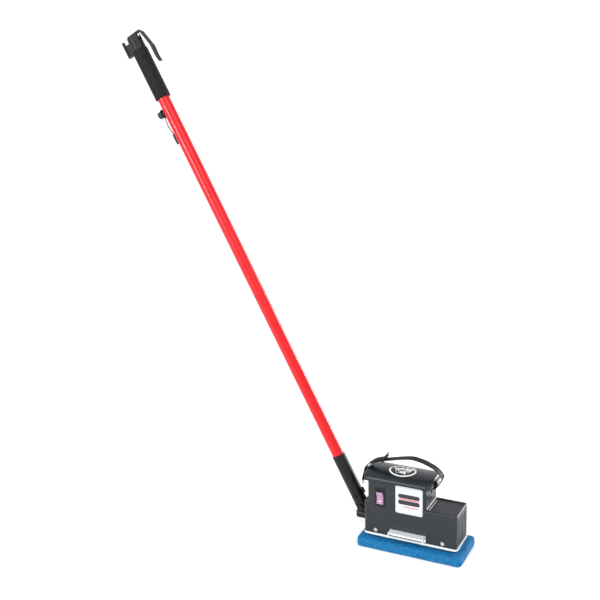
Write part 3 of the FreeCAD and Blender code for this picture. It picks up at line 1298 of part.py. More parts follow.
def make_lever_spring():
    """Torsion spring: three turns beside the lever's hub and a leg on the cap's floor."""
    coils = []
    for i in range(2):
        turn_ring = doc.addObject("Part::Torus", "spring_turn_%d" % i)
        bind(turn_ring, "Radius1", "pin_radius + 0.9")
        turn_ring.Radius2 = 0.45
        beside = "lever_width / 2 + 0.9 + 0.85 * %d" % i
        place(turn_ring, "-pin_offset", beside, PIN_STATION, AXES["y"])
        coils.append(turn_ring)
    leg = rod("spring_leg", "-pin_offset + pin_radius + 0.9", "lever_width / 2 + 0.9",
              PIN_STATION + " - 9", "0.45", "9")
    lean(weld("spring_solid", coils + [leg]), "lever_spring")


def make_fill_port():
    """Filling neck on the tube, its plug, and the tether that keeps the plug."""
    neck_end = "(tube_radius + 4)"
    neck = rod("port_neck", "-" + neck_end, "0", "port_station", "port_radius", neck_end, "x")
    bore = rod("port_bore", "-" + neck_end + " - 1", "0", "port_station",
               "plug_stem_radius + 0.05", "40", "x")
    shape = rod("port_tube", "0", "0", "port_station - 20", "tube_radius", "40")
    lean(cut("port_cut", neck, [bore, shape]), "fill_port")
    knob_start = "(" + neck_end + " + 2.6)"
    knob = rod("plug_knob", "-" + knob_start + " - 11", "0", "port_station", "port_radius", "11", "x")
    stem = rod("plug_stem", "-" + knob_start, "0", "port_station", "plug_stem_radius", "11", "x")
    outer_face = value("0 - " + knob_start + " - 11")

    def outer_rim(edge):
        return abs(edge.BoundBox.XMax - outer_face) < NEAR
    rounded = blend_edges("plug_round", knob, "2", outer_rim)
    lean(weld("plug_solid", [rounded, stem]), "fill_plug")


def make_plug_tether():
    """Flat ring round the plug's stem, a thin strand down the tube, and its clip."""
    clip_face = value("0 - tube_radius - 5.5")
    ring_x = value("0 - tube_radius - 4 - 1.3")
    ring_z = value("port_station")
    reach = value("port_radius + 2.5")
    radius = value("tether_radius")
    eyelet = Part.makeCylinder(reach, 2 * radius, Vector(ring_x - radius, 0, ring_z), Vector(1, 0, 0))
    hole = Part.makeCylinder(value("plug_stem_radius + 0.3"), 2 * radius + 2,
                             Vector(ring_x - radius - 1, 0, ring_z), Vector(1, 0, 0))
    clip_top = value("clip_station + clip_length / 2")
    first = Vector(ring_x, 0, ring_z - reach + 1)
    last = Vector(clip_face + 2.4, 0, clip_top)
    bow = Vector(ring_x - 3.0, 0, (first.z * 2 + last.z) / 3)
    path = Part.Wire([Part.Arc(first, bow, last).toShape()])
    start = path.Edges[0].tangentAt(path.Edges[0].FirstParameter)
    section = Part.Wire([Part.makeCircle(radius, first, start)])
    strand = path.makePipeShell([section], True, True)
    tether = doc.addObject("Part::Feature", "tether")
    tether.Shape = eyelet.fuse(strand).cut(hole).removeSplitter()
    tether.Placement = handle_place()
    keep(tether, "plug_tether")
    block = box("clip_block", "-tube_radius - 2.3", "0", "clip_station - clip_length / 2", "6.4",
                "10", "clip_length")
    shape = rod("clip_tube", "0", "0", "clip_station - 30", "tube_radius", "60")
    lean(cut("clip_cut", block, [shape]), "tether_clip")


# ================================================================ carry strap
def strap_route():
    """Points of the strap's centre line in the XZ plane, from the left anchor to the right."""
    left = value(LID_LEFT)
    right = value(LID_RIGHT)
    top = value(LID_TOP)
    rise = value("strap_rise")
    span = right - left
    return [
        Vector(left - value("anchor_reach"), 0, value(LEFT_ANCHOR_Z) + 2.6),
        Vector(left - 10.5, 0, value(LEFT_ANCHOR_Z) + 11),
        Vector(left - 5.0, 0, top - 3),
        Vector(left + 0.10 * span, 0, top + 0.39 * rise),
        Vector(left + 0.30 * span, 0, top + 0.66 * rise),
        Vector(left + 0.59 * span, 0, top + 0.97 * rise),
        Vector(left + 0.73 * span, 0, top + 0.96 * rise),
        Vector(left + 0.87 * span, 0, top + 0.79 * rise),
        Vector(right + 1, 0, top + 0.49 * rise),
        Vector(right + 14, 0, top + 3),
        Vector(right + 11, 0, top - 9),
        Vector(right + 3.5, 0, top - 18.5),
        Vector(right - 5.2, 0, value(RIGHT_ANCHOR_Z) + 1.5),
    ]


def make_carry_strap():
    """Flat webbing band: the centre line offset both ways and carried across Y."""
    centre = Part.BSplineCurve()
    centre.interpolate(strap_route())
    half = value("strap_thick") / 2
    steps = 40
    first, last = centre.FirstParameter, centre.LastParameter
    sides = ([], [])
    for i in range(steps + 1):
        at = first + (last - first) * i / steps
        point = centre.value(at)
        tangent = centre.tangent(at)[0]
        normal = Vector(-tangent.z, 0, tangent.x)
        sides[0].append(point + normal * half)
        sides[1].append(point - normal * half)
    curves = []
    for points in sides:
        curve = Part.BSplineCurve()
        curve.interpolate(points)
        curves.append(curve.toShape())
    ends = [Part.LineSegment(sides[0][i], sides[1][i]).toShape() for i in (0, steps)]
    outline = Part.Wire(Part.__sortEdges__(curves + ends))
    width = value("strap_width")
    band = Part.Face(outline).extrude(Vector(0, width, 0))
    band.translate(Vector(0, -width / 2, 0))
    strap = doc.addObject("Part::Feature", "carry_strap")
    strap.Shape = band
    keep(strap, "carry_strap")


def make_strap_anchors():
    """A bar on two arms at each end of the tower, each with two rivets."""
    anchors = []
    arm_y = "(strap_width / 2 + 2.2)"
    bars = ((TOWER_LEFT, LID_LEFT + " - anchor_reach", LEFT_ANCHOR_Z, -1),
            (TOWER_RIGHT, LID_RIGHT + " - 8.5", RIGHT_ANCHOR_Z, 1))
    for i, (wall, bar_x, bar_z, side) in enumerate(bars):
        name = "strap_anchor_%d" % i
        plate_x = wall + (" - 0.75" if side < 0 else " + 0.75")
        plate = box(name + "_plate", plate_x, "0", bar_z + " - 4", "1.5",
                    "strap_width + 7.4", "8")
        reach = "abs(" + bar_x + " - " + wall + ")"
        arms = []
        for j, turn_side in enumerate(("-1", "1")):
            start = bar_x if side < 0 else wall
            arms.append(rod(name + "_arm_%d" % j, start, turn_side + " * " + arm_y, bar_z,
                            "1.5", reach, "x"))
        bar = rod(name + "_bar", bar_x, "-" + arm_y + " - anchor_radius", bar_z,
                  "anchor_radius", "2 * " + arm_y + " + 2 * anchor_radius", "y")
        tip = rod(name + "_tip", bar_x, "-" + arm_y, bar_z + " - 10", "1.5", "10")
        holes = []
        for j, y in enumerate(("-anchor_rivets", "anchor_rivets")):
            holes.append(rod(name + "_hole_%d" % j, wall + " - 5", y, bar_z, "1.6", "10", "x"))
            inner = wall + (" - 3" if side < 0 else " - shell_wall - 1.5")
            RIVETS.append(rod("anchor_rivet_%d%d" % (i, j), inner, y, bar_z, "1.6",
                              "shell_wall + 4.5", "x"))
        blank = weld(name + "_blank", [plate, bar, tip] + arms)
        anchors.append(cut(name, blank, holes))
    keep(group("strap_anchors", anchors), "strap_anchors")
    keep(group("rivets", RIVETS), "rivets")


# ================================================================ checks and export
def check_document():
    """Stop if any object failed, any pocket cut nothing or any solid is not valid."""
    for obj in doc.Objects:
        if "Invalid" in obj.State or "Error" in obj.State:
            raise RuntimeError("%s: %s" % (obj.Label, obj.State))
        if obj.TypeId == "PartDesign::Pocket":
            if obj.Shape.Volume > obj.BaseFeature.Shape.Volume - NEAR:
                raise RuntimeError("%s cuts nothing" % obj.Label)
    for obj in SUBPARTS:
        if obj.Shape.isNull() or not obj.Shape.isValid() or not obj.Shape.Solids:
            raise RuntimeError("%s has no valid solid" % obj.Label)


def export_subparts():
    os.makedirs("parts", exist_ok=True)
    for obj in SUBPARTS:
        obj.Shape.exportStep(os.path.join("parts", obj.Label + ".step"))
    print("%d sub-parts" % len(SUBPARTS))


make_scrub_pad()
make_grip_sheet()
make_driver_plate()
make_orbit_bearing()
make_eccentric_hub()
make_deck_pan()
make_rubber_mounts()
make_housing_shell()
make_lid()
make_lid_badge()
make_front_label()
make_shell_screws()
make_switch()
make_rocker()
make_power_inlet()
make_wiring()
make_ballast()
make_motor_frame()
make_motor_inside()
make_motor_bearings()
make_cooling_fan()
make_deck_bolts()
make_end_bracket()
make_front_bracket()
make_swivel_block()
make_swing_bolt()
make_handle_socket()
make_hinge_bolts()
make_pole_tube()
make_valve()
make_valve_rod()
make_foam_grip()
make_top_cap()
make_hanging_hook()
make_trigger()
make_lever_spring()
make_fill_port()
make_plug_tether()
make_carry_strap()
make_strap_anchors()
doc.recompute()
check_document()
export_subparts()
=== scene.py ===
"""Hand-held orbital floor scrubber: finishes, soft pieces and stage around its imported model.

Metres, +Z up, +X along the scrubbing head away from the pole, origin under the pad's middle.
"""
import json
import math
import random
from collections import namedtuple

import bmesh
import bpy
from bpy.props import FloatProperty, FloatVectorProperty, IntProperty, PointerProperty
from mathutils import Matrix, Vector


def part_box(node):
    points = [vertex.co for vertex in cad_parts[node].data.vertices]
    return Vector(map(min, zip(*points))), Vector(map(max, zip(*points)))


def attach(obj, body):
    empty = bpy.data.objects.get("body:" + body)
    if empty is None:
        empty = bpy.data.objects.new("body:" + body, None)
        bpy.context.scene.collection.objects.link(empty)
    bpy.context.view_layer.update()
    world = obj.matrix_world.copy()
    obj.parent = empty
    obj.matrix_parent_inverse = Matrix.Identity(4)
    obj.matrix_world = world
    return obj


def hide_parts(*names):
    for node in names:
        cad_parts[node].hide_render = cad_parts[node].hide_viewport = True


bl_info = {
    "name": "Orbital Floor Scrubber",
    "version": (1, 0, 0),
    "blender": (4, 5, 0),
    "location": "3D Viewport > Sidebar > Scrubber",
    "description": "Finishes and soft pieces of a hand-held orbital floor scrubber",
    "category": "Add Mesh",
}

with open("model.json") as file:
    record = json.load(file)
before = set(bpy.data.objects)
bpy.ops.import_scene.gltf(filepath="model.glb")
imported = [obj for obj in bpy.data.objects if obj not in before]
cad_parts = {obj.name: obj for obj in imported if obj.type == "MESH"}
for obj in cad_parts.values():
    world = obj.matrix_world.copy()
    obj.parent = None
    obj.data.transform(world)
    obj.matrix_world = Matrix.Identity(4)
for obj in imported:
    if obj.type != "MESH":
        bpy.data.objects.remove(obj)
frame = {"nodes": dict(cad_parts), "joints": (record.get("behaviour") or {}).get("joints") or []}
NODES = frame["nodes"]
JOINTS = {joint["name"]: joint for joint in frame["joints"]}
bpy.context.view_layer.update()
MM = 0.001

# The pole's own frame: origin on its hinge, +Z along the pole, +X towards the head.
HINGE = Vector(JOINTS["handle_tilt"]["pos_m"])
POLE_UP = -Vector(JOINTS["rod_slide"]["axis"]).normalized()
LEAN = math.atan2(-POLE_UP.x, POLE_UP.z)
POLE_FRAME = Matrix.Translation(HINGE) @ Matrix.Rotation(-LEAN, 4, "Y")


def linear(code):
    """An sRGB hex colour as linear red, green, blue and alpha."""
    shares = [int(code[i:i + 2], 16) / 255 for i in (1, 3, 5)]
    return tuple(s / 12.92 if s <= 0.04045 else ((s + 0.055) / 1.055) ** 2.4 for s in shares) + (1,)


def pole_span(node):
    """Lowest and highest corner of a CAD node in the pole's frame."""
    inverse = POLE_FRAME.inverted()
    points = [inverse @ vertex.co for vertex in NODES[node].data.vertices]
    low = Vector([min(point[i] for point in points) for i in range(3)])
    high = Vector([max(point[i] for point in points) for i in range(3)])
    return low, high


# ---------------------------------------------------------------- settings
def colour_setting(name, code, description):
    return FloatVectorProperty(name=name, description=description, subtype="COLOR", size=4,
                               min=0, max=1, default=linear(code))


def length_setting(name, size, description):
    return FloatProperty(name=name, description=description, default=size * MM, min=0,
                         subtype="DISTANCE", unit="LENGTH")


class ScrubberFinishes(bpy.types.PropertyGroup):
    housing: colour_setting("Housing", "#0E151D", "Moulded ABS of the housing and lid")
    pole: colour_setting("Pole", "#C0000F", "Powder coat of the pole tube")
    fittings: colour_setting("Fittings", "#090B0D", "Nylon cap, lever, hook, port and clip")
    zinc: colour_setting("Zinc plate", "#EFF4F5", "Deck pan and brackets")
    # The rocker colour also sets the lens's faint painted glow (weak emission).
    lens: colour_setting("Rocker", "#85567D", "Lit rocker of the switch")


class ScrubberPad(bpy.types.PropertyGroup):
    colour: colour_setting("Fibre", "#045F92", "Dyed nylon fibre")
    lump: length_setting("Lumps", 0.9, "Height of the web's unevenness")
    fibres: IntProperty(name="Loose fibres", description="Fibres that stand off the web",
                        default=3200, min=0, max=5000)
    fibre_thickness: length_setting("Fibre thickness", 0.42, "Coarse enough to be seen")
    fibre_length: length_setting("Fibre length", 11, "One loose fibre")


class ScrubberStrap(bpy.types.PropertyGroup):
    colour: colour_setting("Webbing", "#0A0D10", "Polypropylene yarn")
    thickness: length_setting("Thickness", 1.6, "Webbing")
    tail: length_setting("Loose tail", 14, "Webbing past the slider")


class ScrubberGrip(bpy.types.PropertyGroup):
    colour: colour_setting("Foam", "#07090B", "Closed-cell rubber foam")
    end_round: length_setting("End rounding", 2.2, "Soft outer edge at each end")
    swell: length_setting("Unevenness", 0.35, "Lumpiness of the foam's skin")


class ScrubberPrint(bpy.types.PropertyGroup):
    vinyl: colour_setting("Vinyl", "#C3C5CB", "Label face")
    black: colour_setting("Black ink", "#1B1C20", "Bars on the label, and the badge's field")
    red: colour_setting("Red ink", "#C43A40", "Thin bars on the label")
    film: length_setting("Ink film", 0.12, "Raised print")


class ScrubberStage(bpy.types.PropertyGroup):
    floor: colour_setting("Floor", "#FCFCFB", "Painted studio floor")
    camera_at: FloatVectorProperty(name="Camera", description="Where the camera stands",
                                   default=(0.65964, -1.85126, 1.12226), subtype="TRANSLATION",
                                   unit="LENGTH")
    camera_look: FloatVectorProperty(name="Line of sight", description="Where the camera looks",
                                     default=(-0.4393, 0.8607, -0.2575), subtype="DIRECTION")
    camera_right: FloatVectorProperty(name="Level", description="The picture's right hand",
                                      default=(0.8938, 0.4476, -0.0288), subtype="DIRECTION")
    focal_length: FloatProperty(name="Lens", description="Focal length for a 36 mm sensor",
                                default=55.57, unit="CAMERA")


# ---------------------------------------------------------------- modelling
def clear_selection():
    if bpy.context.object and bpy.context.object.mode != "OBJECT":
        bpy.ops.object.mode_set(mode="OBJECT")
    bpy.ops.object.select_all(action="DESELECT")


def activate(piece):
    clear_selection()
    piece.select_set(True)
    bpy.context.view_layer.objects.active = piece
    return piece


def newest(name):
    """Name the primitive that was just added, and put its place into its mesh."""
    piece = bpy.context.object
    piece.name = name
    piece.data.name = name
    bpy.ops.object.transform_apply(location=True, rotation=True, scale=True)
    return piece


def block(name, low, high):
    """A box from its lowest to its highest corner."""
    clear_selection()
    low, high = Vector(low), Vector(high)
    bpy.ops.mesh.primitive_cube_add(size=1, location=(low + high) / 2)
    bpy.context.object.scale = high - low
    return newest(name)


def disc(name, half_x, half_y, steps):
    """A flat oval about the origin, facing +Z."""
    clear_selection()
    bpy.ops.mesh.primitive_circle_add(vertices=steps, radius=1, fill_type="NGON")
    bpy.context.object.scale = (half_x, half_y, 1)
    return newest(name)


def pick(piece, kind, wanted):
    """In edit mode, select just the vertices, edges or faces that wanted says yes to."""
    bpy.ops.mesh.select_mode(type=kind)
    bpy.ops.mesh.select_all(action="DESELECT")
    mesh = bmesh.from_edit_mesh(piece.data)
    for element in {"VERT": mesh.verts, "EDGE": mesh.edges, "FACE": mesh.faces}[kind]:
        if wanted(element):
            element.select_set(True)
    bmesh.update_edit_mesh(piece.data)


def edge_run(edge):
    """The direction an edge runs in."""
    return (edge.verts[1].co - edge.verts[0].co).normalized()


def edit(piece):
    """Open a piece in edit mode."""
    activate(piece)
    bpy.ops.object.mode_set(mode="EDIT")


def leave_edit(outwards=False):
    """Close edit mode, first turning every face outwards if asked."""
    if outwards:
        bpy.ops.mesh.select_all(action="SELECT")
        bpy.ops.mesh.remove_doubles(threshold=0.001 * MM)
        bpy.ops.mesh.normals_make_consistent(inside=False)
    bpy.ops.object.mode_set(mode="OBJECT")


def refine(piece, kind, **settings):
    """Add a modifier, set it and apply it."""
    activate(piece)
    modifier = piece.modifiers.new(kind.title(), kind)
    for name, setting in settings.items():
        setattr(modifier, name, setting)
    bpy.ops.object.modifier_apply(modifier=modifier.name)


def turned(name, outline, steps):
    """A closed ring: an outline of (radius, height) points spun about +Z."""
    clear_selection()
    bpy.ops.mesh.primitive_circle_add(vertices=len(outline), radius=1, fill_type="NOTHING")
    piece = newest(name)
    for vertex, (radius, height) in zip(piece.data.vertices, outline):
        vertex.co = (radius, 0, height)
    edit(piece)
    bpy.ops.mesh.select_all(action="SELECT")
    bpy.ops.mesh.spin(steps=steps, angle=math.tau, center=(0, 0, 0), axis=(0, 0, 1))
    leave_edit(outwards=True)
    return piece


def move_to(piece, matrix):
    """Carry a piece into a frame, and leave its object at the origin."""
    activate(piece)
    piece.matrix_world = matrix
    bpy.ops.object.transform_apply(location=True, rotation=True, scale=True)


def joined(name, pieces):
    clear_selection()
    for piece in pieces:
        piece.select_set(True)
    bpy.context.view_layer.objects.active = pieces[0]
    bpy.ops.object.join()
    return newest(name)


def smooth_line(points, step):
    """Points about step apart on a smooth curve through these points."""
    line = []
    last = len(points) - 1
    for i in range(last):
        before, start = points[max(i - 1, 0)], points[i]
        end, after = points[i + 1], points[min(i + 2, last)]
        count = max(2, round((end - start).length / step))
        for j in range(count):
            t = j / count
            line.append(0.5 * (2 * start + (end - before) * t
                               + (2 * before - 5 * start + 4 * end - after) * t ** 2
                               + (3 * start - before - 3 * end + after) * t ** 3))
    line.append(points[-1])
    return line


def displaced(piece, size, strength, **settings):
    """Push the surface in and out by a cloud pattern of this size."""
    clouds = bpy.data.textures.new(piece.name + "_clouds", "CLOUDS")
    clouds.noise_scale = size
    refine(piece, "DISPLACE", texture=clouds, texture_coords="LOCAL", strength=strength,
           mid_level=0.5, **settings)


def finished(piece, body, material, flat_angle=35):
    """Give a piece its material, shading, body and slot."""
    activate(piece)
    piece.data.materials.clear()
    piece.data.materials.append(material)
    bpy.ops.object.shade_smooth_by_angle(angle=math.radians(flat_angle))
    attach(piece, body)
    return piece


# ---------------------------------------------------------------- materials
# A Mix node's sockets share their names between its forms, so its colours go by their places.
MIX_DARK, MIX_LIGHT, MIX_RESULT = 6, 7, 2
# At this scale a wave texture's bands repeat about every two metres.
WAVE_BAND = 0.159

Finish = namedtuple("Finish", "material tree shader place bump")


def add(tree, kind, inputs=None, **settings):
    """Add a node: settings are its own, inputs are numbers or the sockets that feed it."""
    node = tree.nodes.new("ShaderNode" + kind)
    for name, setting in settings.items():
        setattr(node, name, setting)
    for name, source in (inputs or {}).items():
        if isinstance(source, bpy.types.NodeSocket):
            tree.links.new(source, node.inputs[name])
        else:
            node.inputs[name].default_value = source
    return node


def mixed(tree, factor, dark, light):
    """The socket of a blend from dark to light, each a colour or a socket."""
    inputs = {"Factor": factor, MIX_DARK: dark, MIX_LIGHT: light}
    return add(tree, "Mix", inputs, data_type="RGBA").outputs[MIX_RESULT]


def relief(tree, shader, height, depth, strength=1, under=None):
    """Bump the shader's surface by a height socket, at most depth millimetres."""
    inputs = {"Height": height, "Strength": strength, "Distance": depth * MM}
    if under:
        inputs["Normal"] = under.outputs["Normal"]
    bump = add(tree, "Bump", inputs)
    tree.links.new(bump.outputs["Normal"], shader.inputs["Normal"])
    return bump


def shade(colour, factor):
    """A colour made darker or lighter."""
    return tuple(min(1, share * factor) for share in colour[:3]) + (1,)


def patchy(name, dark, light, patch, roughness, grain, depth, **constants):
    """A surface that drifts between two tones over patches, with a fine grain.

    patch, grain and depth are in millimetres; roughness is the smoothest and the roughest.
    constants set the shader's other sockets.
    """
    material = bpy.data.materials.new(name)
    material.use_nodes = True
    tree = material.node_tree
    shader = tree.nodes["Principled BSDF"]
    for socket, value in constants.items():
        shader.inputs[socket.replace("_", " ")].default_value = value
    place = add(tree, "TexCoord").outputs["Object"]
    patches = add(tree, "TexNoise", {"Vector": place, "Scale": 1 / (patch * MM), "Detail": 3})
    tone = mixed(tree, patches.outputs["Fac"], dark, light)
    tree.links.new(tone, shader.inputs["Base Color"])
    rub = add(tree, "MapRange", {"Value": patches.outputs["Fac"], "From Min": 0.3,
                                 "From Max": 0.7, "To Min": roughness[0], "To Max": roughness[1]})
    tree.links.new(rub.outputs["Result"], shader.inputs["Roughness"])
    grains = add(tree, "TexNoise", {"Vector": place, "Scale": 1 / (grain * MM), "Detail": 2})
    bump = relief(tree, shader, grains.outputs["Fac"], depth)
    return Finish(material, tree, shader, place, bump)


def moulded_abs():
    """ABS from a spark-eroded mould: satin, with a fine leathery grain and rubbed patches."""
    base = bpy.context.scene.scrubber_finishes.housing
    return patchy("moulded_abs", shade(base, 0.86), shade(base, 1.16), patch=38,
                  roughness=(0.28, 0.38), grain=0.9, depth=0.03, IOR=1.5,
                  Specular_IOR_Level=0.46).material


def moulded_nylon():
    """Glass-filled nylon: near-black, a little glossier than the housing."""
    base = bpy.context.scene.scrubber_finishes.fittings
    return patchy("moulded_nylon", shade(base, 0.8), shade(base, 1.25), patch=14,
                  roughness=(0.28, 0.42), grain=0.7, depth=0.03, IOR=1.5,
                  Specular_IOR_Level=0.3).material


def gloss_powder_coat():
    """Baked polyester powder: deep red with faint orange peel under a clear gloss."""
    base = bpy.context.scene.scrubber_finishes.pole
    return patchy("gloss_powder_coat", shade(base, 0.93), shade(base, 1.05), patch=60,
                  roughness=(0.24, 0.34), grain=1.6, depth=0.02, IOR=1.5, Specular_IOR_Level=0.3,
                  Coat_Weight=0.15, Coat_Roughness=0.1).material


def satin_powder_coat():
    """Black epoxy powder on steel: even, with a slight pebble."""
    return patchy("satin_powder_coat", linear("#08090A"), linear("#121315"), patch=20,
                  roughness=(0.32, 0.45), grain=1.1, depth=0.04, IOR=1.5,
                  Specular_IOR_Level=0.25).material


def bright_zinc_plate():
    """Sheet steel in bright zinc: bluish white, faintly clouded and smooth."""
    base = bpy.context.scene.scrubber_finishes.zinc
    return patchy("bright_zinc_plate", shade(base, 0.88), base, patch=7, roughness=(0.34, 0.48),
                  grain=0.8, depth=0.003, Metallic=0.35).material


def zinc_fastener():
    """Barrel-plated screws, nuts and rivets: greyer and duller than the sheet."""
    return patchy("zinc_fastener", linear("#A9AAA6"), linear("#D6D7D2"), patch=2.5,
                  roughness=(0.24, 0.42), grain=0.5, depth=0.015, Metallic=1.0).material


def turned_steel():
    """Turned and ground steel: grey, with fine circular tool marks blurred to a sheen."""
    return patchy("turned_steel", linear("#8E9094"), linear("#BFC1C4"), patch=4,
                  roughness=(0.18, 0.3), grain=0.4, depth=0.01, Metallic=1.0).material


def cast_aluminium():
    """Sand-cast aluminium: pale grey, a coarse matte skin."""
    return patchy("cast_aluminium", linear("#9EA0A2"), linear("#C9CACC"), patch=9,
                  roughness=(0.4, 0.58), grain=0.9, depth=0.08, Metallic=1.0).material


def drawn_aluminium():
    """Deep-drawn aluminium can: bright and nearly smooth."""
    return patchy("drawn_aluminium", linear("#C4C6C8"), linear("#E2E3E4"), patch=12,
                  roughness=(0.2, 0.3), grain=0.5, depth=0.01, Metallic=1.0).material


def painted_iron():
    """Grey cast iron under thin primer: dark, pitted and dull."""
    return patchy("painted_iron", linear("#2B2C2E"), linear("#45474A"), patch=8,
                  roughness=(0.5, 0.7), grain=1.6, depth=0.18, IOR=1.5).material


def motor_enamel():
    """Black stoving enamel on the motor can."""
    return patchy("motor_enamel", linear("#141517"), linear("#1E2023"), patch=18,
                  roughness=(0.2, 0.3), grain=0.9, depth=0.01, IOR=1.52).material


def stacked_laminations():
    """Silicon steel stampings in a stack: a fine line at every sheet."""
    material, tree, shader, place, bump = patchy(
        "stacked_laminations", linear("#55575B"), linear("#7D8084"), patch=5,
        roughness=(0.35, 0.5), grain=0.6, depth=0.01, Metallic=1.0)
    sheets = add(tree, "TexWave", {"Vector": place, "Scale": 0.32 / MM, "Distortion": 0},
                 bands_direction="Z")
    relief(tree, shader, sheets.outputs["Fac"], 0.15, strength=0.8, under=bump)
    return material


def enamelled_copper():
    """Copper wire in amber enamel, wound in rows."""
    material, tree, shader, place, bump = patchy(
        "enamelled_copper", linear("#8A431D"), linear("#C77A45"), patch=3, roughness=(0.2, 0.34),
        grain=0.6, depth=0.01, Metallic=1.0)
    turns = add(tree, "TexWave", {"Vector": place, "Scale": 0.35 / MM, "Distortion": 1.5},
                bands_direction="Z")
    relief(tree, shader, turns.outputs["Fac"], 0.3, under=bump)
    return material


def plated_brass():
    """Nickel-flashed brass blades."""
    return patchy("plated_brass", linear("#C8B27A"), linear("#E0D2A4"), patch=3,
                  roughness=(0.18, 0.28), grain=0.5, depth=0.008, Metallic=1.0).material


def moulded_rubber():
    """Natural rubber with carbon black: dull, with a dusty bloom."""
    return patchy("moulded_rubber", linear("#121314"), linear("#202224"), patch=6,
                  roughness=(0.55, 0.75), grain=0.8, depth=0.04, IOR=1.52).material


def hook_tape():
    """Woven tape of nylon hooks: a black pile too dense to shine."""
    material, tree, shader, place, bump = patchy(
        "hook_tape", linear("#08090A"), linear("#1C1D1F"), patch=2, roughness=(0.7, 0.85),
        grain=0.8, depth=0.2, IOR=1.5)
    hooks = add(tree, "TexVoronoi", {"Vector": place, "Scale": 1 / (1.4 * MM)})
    relief(tree, shader, hooks.outputs["Distance"], 0.6, under=bump)
    return material


def painted_glow_lens():
    """Tinted translucent rocker: lilac with paler streaks, and a faint painted glow from a weak
    emission on the lens itself, with no lamp behind it.
    """
    base = bpy.context.scene.scrubber_finishes.lens
    material, tree, shader, place, _ = patchy(
        "painted_glow_lens", shade(base, 0.75), base, patch=5, roughness=(0.16, 0.26), grain=2, depth=0.02,
        IOR=1.49, Coat_Weight=0.4, Coat_Roughness=0.1, Emission_Strength=0.05)
    streaks = add(tree, "TexWave", {"Vector": place, "Scale": 0.055 / MM, "Distortion": 2,
                                    "Detail": 1}, bands_direction="Z")
    tint = mixed(tree, streaks.outputs["Fac"], shade(base, 0.85), linear("#AF8CAA"))
    # The tint also feeds the emission colour, which gives the faint painted glow.
    for socket in ("Base Color", "Emission Color"):
        tree.links.new(tint, shader.inputs[socket])
    return material


def printed_vinyl():
    """Screen-printed vinyl: flat pale grey with a faint silvery fleck."""
    base = bpy.context.scene.scrubber_print.vinyl
    return patchy("printed_vinyl", shade(base, 0.9), base, patch=2.2, roughness=(0.3, 0.42),
                  grain=0.8, depth=0.008, IOR=1.54).material


def white_vinyl():
    """Gloss white vinyl of the oval badge."""
    return patchy("white_vinyl", linear("#E6E6E4"), linear("#FAFAFA"), patch=9,
                  roughness=(0.2, 0.3), grain=0.8, depth=0.006, IOR=1.54).material


def black_ink():
    base = bpy.context.scene.scrubber_print.black
    return patchy("black_ink", shade(base, 0.8), shade(base, 1.2), patch=4, roughness=(0.28, 0.4),
                  grain=0.5, depth=0.006, IOR=1.5).material


def red_ink():
    base = bpy.context.scene.scrubber_print.red
    return patchy("red_ink", shade(base, 0.9), base, patch=4, roughness=(0.28, 0.4), grain=0.5,
                  depth=0.006, IOR=1.5).material


def nonwoven_fibre():
    """Open nylon web in blue binder: painted shade in the web's low hollows and painted light on
    its raised fibre, both following the bump, with the depth of the shade drifting at random.
    """
    base = bpy.context.scene.scrubber_pad.colour
    material, tree, shader, place, bump = patchy(
        "nonwoven_fibre", shade(base, 0.5), shade(base, 1.2), patch=5, roughness=(0.55, 0.8),
        grain=1.1, depth=0.5, IOR=1.53, Specular_IOR_Level=0.2)
    web = add(tree, "TexNoise", {"Vector": place, "Scale": 1 / (4.5 * MM), "Detail": 5,
                                 "Distortion": 1.4})
    # Where the web's bump is high: the share of painted light on its raised fibre.
    thick = add(tree, "MapRange", {"Value": web.outputs["Fac"], "From Min": 0.36,
                                   "From Max": 0.62})
    drift = add(tree, "TexNoise", {"Vector": place, "Scale": 1 / (17 * MM), "Detail": 3})
    # Painted shade in the web's hollows, deeper or fainter at random over wider patches.
    hollow_shade = mixed(tree, drift.outputs["Fac"], shade(base, 0.3), shade(base, 0.8))
    # The hollows get the painted shade, and the raised web is painted paler.
    tone = mixed(tree, thick.outputs["Result"], hollow_shade, shade(base, 1.5))
    tree.links.new(tone, shader.inputs["Base Color"])
    relief(tree, shader, web.outputs["Fac"], 1.2, under=bump)
    return material


def loose_fibre():
    """Single nylon fibres on the web's outside, paler than the web behind them."""
    base = bpy.context.scene.scrubber_pad.colour
    return patchy("loose_fibre", shade(base, 1.1), linear("#1E86BE"), patch=6,
                  roughness=(0.4, 0.55), grain=1, depth=0.02, IOR=1.53,
                  Specular_IOR_Level=0.3).material


def closed_cell_foam():
    """Nitrile foam: matte skin with open pores and scuffed lighter patches."""
    base = bpy.context.scene.scrubber_grip.colour
    material, tree, shader, place, bump = patchy(
        "closed_cell_foam", shade(base, 0.7), shade(base, 1.7), patch=9, roughness=(0.62, 0.85),
        grain=1.3, depth=0.22, IOR=1.5, Specular_IOR_Level=0.25)
    pores = add(tree, "TexVoronoi", {"Vector": place, "Scale": 1 / (1.7 * MM)})
    relief(tree, shader, pores.outputs["Distance"], 0.35, strength=0.7, under=bump)
    return material


